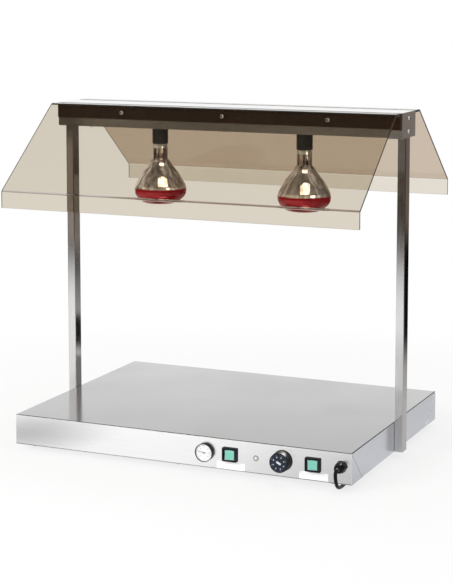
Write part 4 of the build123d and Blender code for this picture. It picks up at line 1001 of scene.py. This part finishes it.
def makeThermometer():
    place = onPanel("thermometer_case")
    turned = {"case": (glossBlack, "black_plastic"), "dial": (dialWhite, "dial_white"),
              "lens": (clearGlass, "clear_glass")}
    for part, (material, slot) in turned.items():
        bm = spun(thermometerSet[part], thermometerSet.get(part + "Bends"), steps=72)
        name = "thermometer" + part.capitalize()
        makePiece(bm, name, [material], ["thermometer_" + part], matrix=place)
    marks = bmesh.new()
    front, proud, half = thermometerSet["dial"][0][1], thermometerSet["print"], thermometerSet["tickHalf"]
    longStart, shortStart, end = thermometerSet["tickReach"]
    figures, ticks = thermometerSet["figures"], thermometerSet["ticks"]
    for number in range(ticks):
        start = shortStart if number % thermometerSet["longEvery"] else longStart
        tick = block(marks, (start, -half, front), (end, half, front + proud))
        turn = Matrix.Rotation(aroundDial(number, ticks), 3, "Z")
        bmesh.ops.rotate(marks, verts=tick, cent=(0, 0, 0), matrix=turn)
    for number, words in enumerate(figures):
        angle = aroundDial(number, len(figures))
        reach = thermometerSet["figureReach"]
        spot = Vector((reach * cos(angle), reach * sin(angle), front + proud)) * mm
        textInto(marks, words, thermometerSet["figureHeight"], Matrix.Translation(spot))
    makePiece(marks, "thermometerMarks", [dialInk], matrix=place)


makeThermometer()
print("thermometer made")


# Rocker switches
switchSet = {
    "frame": (35.5, 31.0, 10.5),  # mm: wide, high, reach in front of the panel
    "cornerRadius": 2.0,
    "softEdge": [(0.3, 0.7), (0.7, 0.3)],  # each step inwards and forwards
    "rim": 0.9,
    "mouth": (30.6, 26.4),  # the opening at the rim, wide and high
    "pocket": (29.4, 25.2),  # the same further in
    "mouthDepth": 0.8,
    "pocketFloor": -4.2,  # below 0 is behind the panel
    "housing": (32.4, 28.0, 26.0),  # wide, high, deep
    "blade": (0.8, 6.3, 8.0),  # thick, broad, long
    "bladeSpacing": 8.1,
    "crownMiddle": (0.15, 0.59, 0.43),  # greens
    "crownEdge": (0.23, 0.54, 0.46),
    "crownReach": (0.003, 0.012),  # metres from the middle
    "crownFacing": 0.88,  # how squarely the crown faces the user
    "crownCoat": {"Coat Weight": 0.5, "Coat Roughness": 0.06},
    "crownDepth": {"Subsurface Weight": 0.1, "Subsurface Scale": 0.003},
    "crownGrain": 260,
    "crownRough": (0.14, 0.22),
    "rockerEdge": (0.6, 25),  # width, and the angle in degrees past which an edge is softened
}


def makeSwitchFrame(side):
    wide, high, reach = switchSet["frame"]
    rise = sum(step for _, step in switchSet["softEdge"])
    bm = bmesh.new()
    verts = block(bm, (-wide / 2, -high / 2, 0), (wide / 2, high / 2, reach - rise))
    roundOff(bm, edgesOf(verts, runsAlong(2)), switchSet["cornerRadius"], 4)
    front = max(bm.faces, key=lambda f: f.calc_center_median().z)
    for inwards, forwards in switchSet["softEdge"]:
        insetFace(bm, front, inwards, forwards)
    insetFace(bm, front, switchSet["rim"])
    fitFace(bm, front, *switchSet["mouth"])
    front = pushFace(bm, front, reach - switchSet["mouthDepth"])
    fitFace(bm, front, *switchSet["pocket"])
    pushFace(bm, front, switchSet["pocketFloor"])
    boxWide, boxHigh, boxDeep = switchSet["housing"]
    back = next(f for f in bm.faces if f.normal.z < -squarely)
    insetFace(bm, back, (high - boxHigh) / 2)
    fitFace(bm, back, boxWide, boxHigh)
    pushFace(bm, back, -boxDeep)
    thick, broad, long = switchSet["blade"]
    for across in (-1, 0, 1):
        x = across * switchSet["bladeSpacing"]
        block(bm, (x - thick / 2, -broad / 2, -boxDeep - long), (x + thick / 2, broad / 2, -boxDeep))
    node = side + "_switch_body"
    makePiece(bm, side + "SwitchFrame", [blackPlastic], [node], matrix=onPanel(node))


def crownGreen(side):
    # pale green, deeper in the middle where the lamp inside shows through
    material, tree, shader = newMaterial(side + "CrownGreen")
    setSockets(shader, switchSet["crownCoat"] | switchSet["crownDepth"])
    away = spread(tree, distanceFrom(tree, middleOf(side + "_rocker")), 0, 1, *switchSet["crownReach"])
    tint = tones(tree, away, switchSet["crownMiddle"], switchSet["crownEdge"], 0, 1)
    gloss = spread(tree, noiseOn(tree, switchSet["crownGrain"]), *switchSet["crownRough"])
    feed(tree, shader, Base_Color=tint, Roughness=gloss)
    return material


def makeRocker(side):
    node = side + "_rocker"
    bm = mergedCopy(node)
    for face in bm.faces:
        # faces that don't face the user take the dark teal: painted shade on the sides
        face.material_index = int(face.normal.y > -switchSet["crownFacing"])
    finishes = [crownGreen(side), rockerSideShade]
    rocker = makePiece(bm, side + "Rocker", finishes, [node], body=node)
    softenEdges(rocker, *switchSet["rockerEdge"])


for switchSide in ("left", "right"):
    makeSwitchFrame(switchSide)
    makeRocker(switchSide)
print("switches made")


# Pilot lamp
pilotSet = {
    "ring": [  # radius and height in front of the panel, in mm
        (0.0, 1.2), (4.4, 1.2), (4.4, 2.4), (6.5, 2.4), (6.5, 0.0), (4.8, 0.0), (4.8, -22.0), (0.0, -22.0),
    ],
    "ringEdge": {3: 0.8},
    "lens": [(0.0, 3.4), (1.6, 3.15), (3.0, 2.5), (4.2, 1.2), (0.0, 1.2)],
}


def makePilot():
    place = onPanel("pilot_body")
    ring = spun(pilotSet["ring"], pilotSet["ringEdge"], steps=48)
    makePiece(ring, "pilotRing", [pilotMetal], ["pilot_body"], matrix=place)
    lens = spun(pilotSet["lens"], steps=48)
    makePiece(lens, "pilotLens", [pilotClear], ["pilot_lens"], matrix=place, sharp=50)


makePilot()
print("pilot lamp made")


# Thermostat knob
knobSet = {
    "profile": [  # radius and height in front of the panel, in mm
        (0.0, 27.4), (20.0, 27.4), (20.0, 28.0), (21.8, 28.0), (23.4, 3.0), (20.4, 3.0), (20.4, 24.0),
        (6.0, 24.0), (6.0, 3.0), (3.05, 3.0), (3.05, 17.3), (0.0, 17.3),
    ],
    "edge": {3: 1.6},
    "dots": 8,
    "firstDot": 19.0,  # degrees
    "dotRadius": 1.2,
    "dotSides": 20,
    "dotReach": 13.2,
    "figures": ["30", "40", "50", "60", "70", "80", "90"],
    "figureHeight": 3.0,
    "figureReach": 17.4,
    "bar": (11.4, 4.6),  # the pointer, long and wide
    "barCorner": 0.9,
    "barAngle": -28.0,  # degrees
    "print": 0.12,  # thickness
}


def makeKnob():
    place = onPanel("thermostat_knob")
    knob = spun(knobSet["profile"], knobSet["edge"], steps=96)
    front = knobSet["profile"][0][1]
    for face in knob.faces:
        face.material_index = int(all(abs(v.co.z - front * mm) < samePlace for v in face.verts))
    finishes = [knobBlack, knobSlate]
    makePiece(knob, "thermostatKnob", finishes, ["thermostat_knob"], "knob", place)
    marks = bmesh.new()
    top = front + knobSet["print"]
    long, wide = knobSet["bar"]
    bar = block(marks, (-long / 2, -wide / 2, front), (long / 2, wide / 2, top))
    roundOff(marks, edgesOf(bar, runsAlong(2)), knobSet["barCorner"])
    turn = Matrix.Rotation(radians(knobSet["barAngle"]), 3, "Z")
    bmesh.ops.rotate(marks, verts=marks.verts, cent=(0, 0, 0), matrix=turn)
    for number in range(knobSet["dots"]):
        angle = radians(knobSet["firstDot"] + 360 * number / knobSet["dots"])
        way = Vector((cos(angle), sin(angle), 0)) * mm
        dotPlace = Matrix.Translation(way * knobSet["dotReach"] + Vector((0, 0, (front + top) / 2 * mm)))
        dotRadius = knobSet["dotRadius"] * mm
        bmesh.ops.create_cone(marks, cap_ends=True, segments=knobSet["dotSides"], radius1=dotRadius,
                              radius2=dotRadius, depth=knobSet["print"] * mm, matrix=dotPlace)
        if number < len(knobSet["figures"]):
            spot = Matrix.Translation(way * knobSet["figureReach"] + Vector((0, 0, top * mm)))
            upright = spot @ Matrix.Rotation(angle - pi / 2, 4, "Z")
            known = set(marks.faces)
            textInto(marks, knobSet["figures"][-1 - number], knobSet["figureHeight"], upright)
            for face in set(marks.faces) - known:
                face.material_index = 1
    makePiece(marks, "thermostatMarks", [knobInk, figureInk], body="knob", matrix=place)


makeKnob()
print("thermostat knob made")


# Legend plates under the switches
legendSet = {
    "corner": 1.2,  # mm
}


def makeLegends():
    bm = mergedCopy("legend_plates")
    roundOff(bm, edgesOf(bm.verts, runsAlong(1)), legendSet["corner"])
    makePiece(bm, "legendPlates", [legendWhite], ["legend_plates"])


makeLegends()
print("legend plates made")


# Cable gland
glandSet = {
    "flats": 24.0,  # mm across
    "hexHeight": 5.0,
    "thread": (10.0, 12.0),  # radius, length
    "gap": 0.5,  # groove between body and nut
    "nutFlats": 23.0,
    "nutHex": 14.5,  # height of the end of the nut's hexagon
    "dome": [  # radius, height
        (4.3, 14.0), (12.0, 14.0), (12.0, 16.5), (11.4, 19.5), (9.8, 24.5), (8.6, 28.2), (7.6, 29.0),
        (4.3, 29.0), (4.3, 14.0),
    ],
    "edge": 0.5,
    "threadSides": 40,
}


def hexagonInto(bm, flats, low, high):
    radius = flats / 2 / cos(pi / 6) * mm
    middle = Matrix.Translation((0, 0, (low + high) / 2 * mm)) @ Matrix.Rotation(pi / 6, 4, "Z")
    return bmesh.ops.create_cone(bm, cap_ends=True, segments=6, radius1=radius, radius2=radius,
                                 depth=(high - low) * mm, matrix=middle)["verts"]


def makeGland():
    place = onPanel("cable_gland")
    body = bmesh.new()
    hexVerts = hexagonInto(body, glandSet["flats"], 0, glandSet["hexHeight"])
    roundOff(body, edgesOf(hexVerts), glandSet["edge"])
    radius, length = (value * mm for value in glandSet["thread"])
    bmesh.ops.create_cone(body, cap_ends=True, segments=glandSet["threadSides"], radius1=radius,
                          radius2=radius, depth=length, matrix=Matrix.Translation((0, 0, -length / 2)))
    makePiece(body, "glandBody", [wetBlack], ["cable_gland"], matrix=place)
    low = glandSet["hexHeight"] + glandSet["gap"]
    nut = spun(glandSet["dome"], steps=48)
    hexVerts = hexagonInto(nut, glandSet["nutFlats"], low, glandSet["nutHex"])
    roundOff(nut, edgesOf(hexVerts), glandSet["edge"])
    makePiece(nut, "glandNut", [wetBlack], ["gland_nut"], matrix=place, sharp=40)


makeGland()
print("cable gland made")


# Dome-head screws of the guards and the end caps
domeSet = {
    "profile": [  # radius and height over the seat, in mm
        (0.0, 1.0), (1.9, 1.0), (1.9, 2.62), (2.6, 2.28), (3.7, 1.38), (4.5, 0.34), (4.75, 0.0), (2.5, 0.0),
        (2.5, -12.0), (0.0, -12.0),
    ],
    "socket": (1.4, 2.3),  # radii between which the socket's wall lies
    "socketAbove": 0.5,  # height above which it is a hexagon
    "guardX": (-262.0, 0.0, 262.0),
    "guardY": 55.0,
    "guardZ": 776.0,
    "capX": 436.2,
    "capZ": (754.0, 784.0),
}


def seated(at, way):
    return Matrix.Translation(Vector(at) * mm) @ Vector(way).to_track_quat("Z", "Y").to_matrix().to_4x4()


def makeDomeScrews():
    places = []
    for end in (-1, 1):
        y, z = end * domeSet["guardY"], domeSet["guardZ"]
        places += [seated((x, y, z), (0, end, 0)) for x in domeSet["guardX"]]
        places += [seated((end * domeSet["capX"], 0, z), (end, 0, 0)) for z in domeSet["capZ"]]
    screw = spun(domeSet["profile"], steps=24)
    inner, outer = (radius * mm for radius in domeSet["socket"])
    for vert in screw.verts:
        if inner < vert.co.xy.length < outer and vert.co.z > domeSet["socketAbove"] * mm:
            angle = Vector((1, 0)).angle_signed(vert.co.xy, 0) % (pi / 3) - pi / 6
            vert.co.xy *= cos(pi / 6) / cos(angle)
    for face in screw.faces:
        middle = face.calc_center_median()
        face.material_index = int(middle.xy.length < outer and middle.z > 0)
    finishes = [brightBolt, socketShade]
    makePiece(joinCopies(screw, places), "domeScrews", finishes, ["dome_screws"])


makeDomeScrews()
print("screws made")


# Plug and tie on the coil
plugSet = {
    "neckLength": 38.0,  # mm
    "neckRadius": (4.6, 8.5),  # at the cord, at the body
    "neckSunk": 4.0,  # how far the neck goes into the body
    "ribs": 6,
    "firstRib": 4.0,
    "ribSpacing": 5.2,
    "groove": [(0.0, 0.0), (0.5, 0.8), (2.0, 0.8), (2.5, 0.0)],  # along the neck, into it
    "bodyWidth": 36.0,
    "bodyLength": 42.0,
    "cornerRadius": 7.0,
    "endEdge": 2.0,
    "gripInset": 2.5,
    "gripDepth": 1.0,
    "gripArea": 2e-4,  # square metres, over which a side face is a grip
}


def makePlug():
    start = coilPoints()[-1]
    x, y, z = start * mm
    place = Matrix(((0, 0, -1, x), (-1, 0, 0, y), (0, 1, 0, z), (0, 0, 0, 1)))
    thin, thick = plugSet["neckRadius"]
    neckLength, end = plugSet["neckLength"], plugSet["neckLength"] + plugSet["bodyLength"]
    line = [(0.0, 0.0), (thin, 0.0)]
    for number in range(plugSet["ribs"]):
        for along, into in plugSet["groove"]:
            height = plugSet["firstRib"] + number * plugSet["ribSpacing"] + along
            line.append((thin + (thick - thin) * height / neckLength - into, height))
    neckEnd = neckLength + plugSet["neckSunk"]
    line += [(thick, neckEnd), (0.0, neckEnd)]
    bm = spun(line, steps=40)
    wide, high = plugSet["bodyWidth"], 2 * start.z
    verts = block(bm, (-wide / 2, -high / 2, neckLength), (wide / 2, high / 2, end))
    roundOff(bm, edgesOf(verts, runsAlong(2)), plugSet["cornerRadius"], 6)
    bm.normal_update()
    endArea = wide * high * mm * mm / 2
    ends = [f for f in bm.faces if abs(f.normal.z) > squarely and f.calc_area() > endArea]
    roundOff(bm, dict.fromkeys(e for f in ends for e in f.edges), plugSet["endEdge"])
    bm.normal_update()
    sides = [f for f in bm.faces if abs(f.normal.x) > squarely]
    for grip in [f for f in sides if f.calc_area() > plugSet["gripArea"]]:
        insetFace(bm, grip, plugSet["gripInset"])
        insetFace(bm, grip, plugSet["gripDepth"], -plugSet["gripDepth"])
    return makePiece(bm, "plugBody", [plugBlack], ["plug_body"], matrix=place)


plugPiece = makePlug()
pinPiece = dressed("plug_pins", "plugPins", pinMetal)
tiePiece = dressed("cord_tie", "cordTie", strapBlack)
print("plug and tie made")


# The panel's satin is too coarse to mirror what stands on it, and the black pieces have a lamp of their own
blackNames = [
    "thermometerCase", "leftSwitchFrame", "rightSwitchFrame", "thermostatKnob", "glandBody", "glandNut",
    "mainsCord",
]
for standing in blackNames + ["pilotRing", "leftRocker", "rightRocker"]:
    bpy.data.objects[standing].visible_glossy = False
for standing in blackNames:
    shinyBlack.objects.link(bpy.data.objects[standing])
print("controls lit")
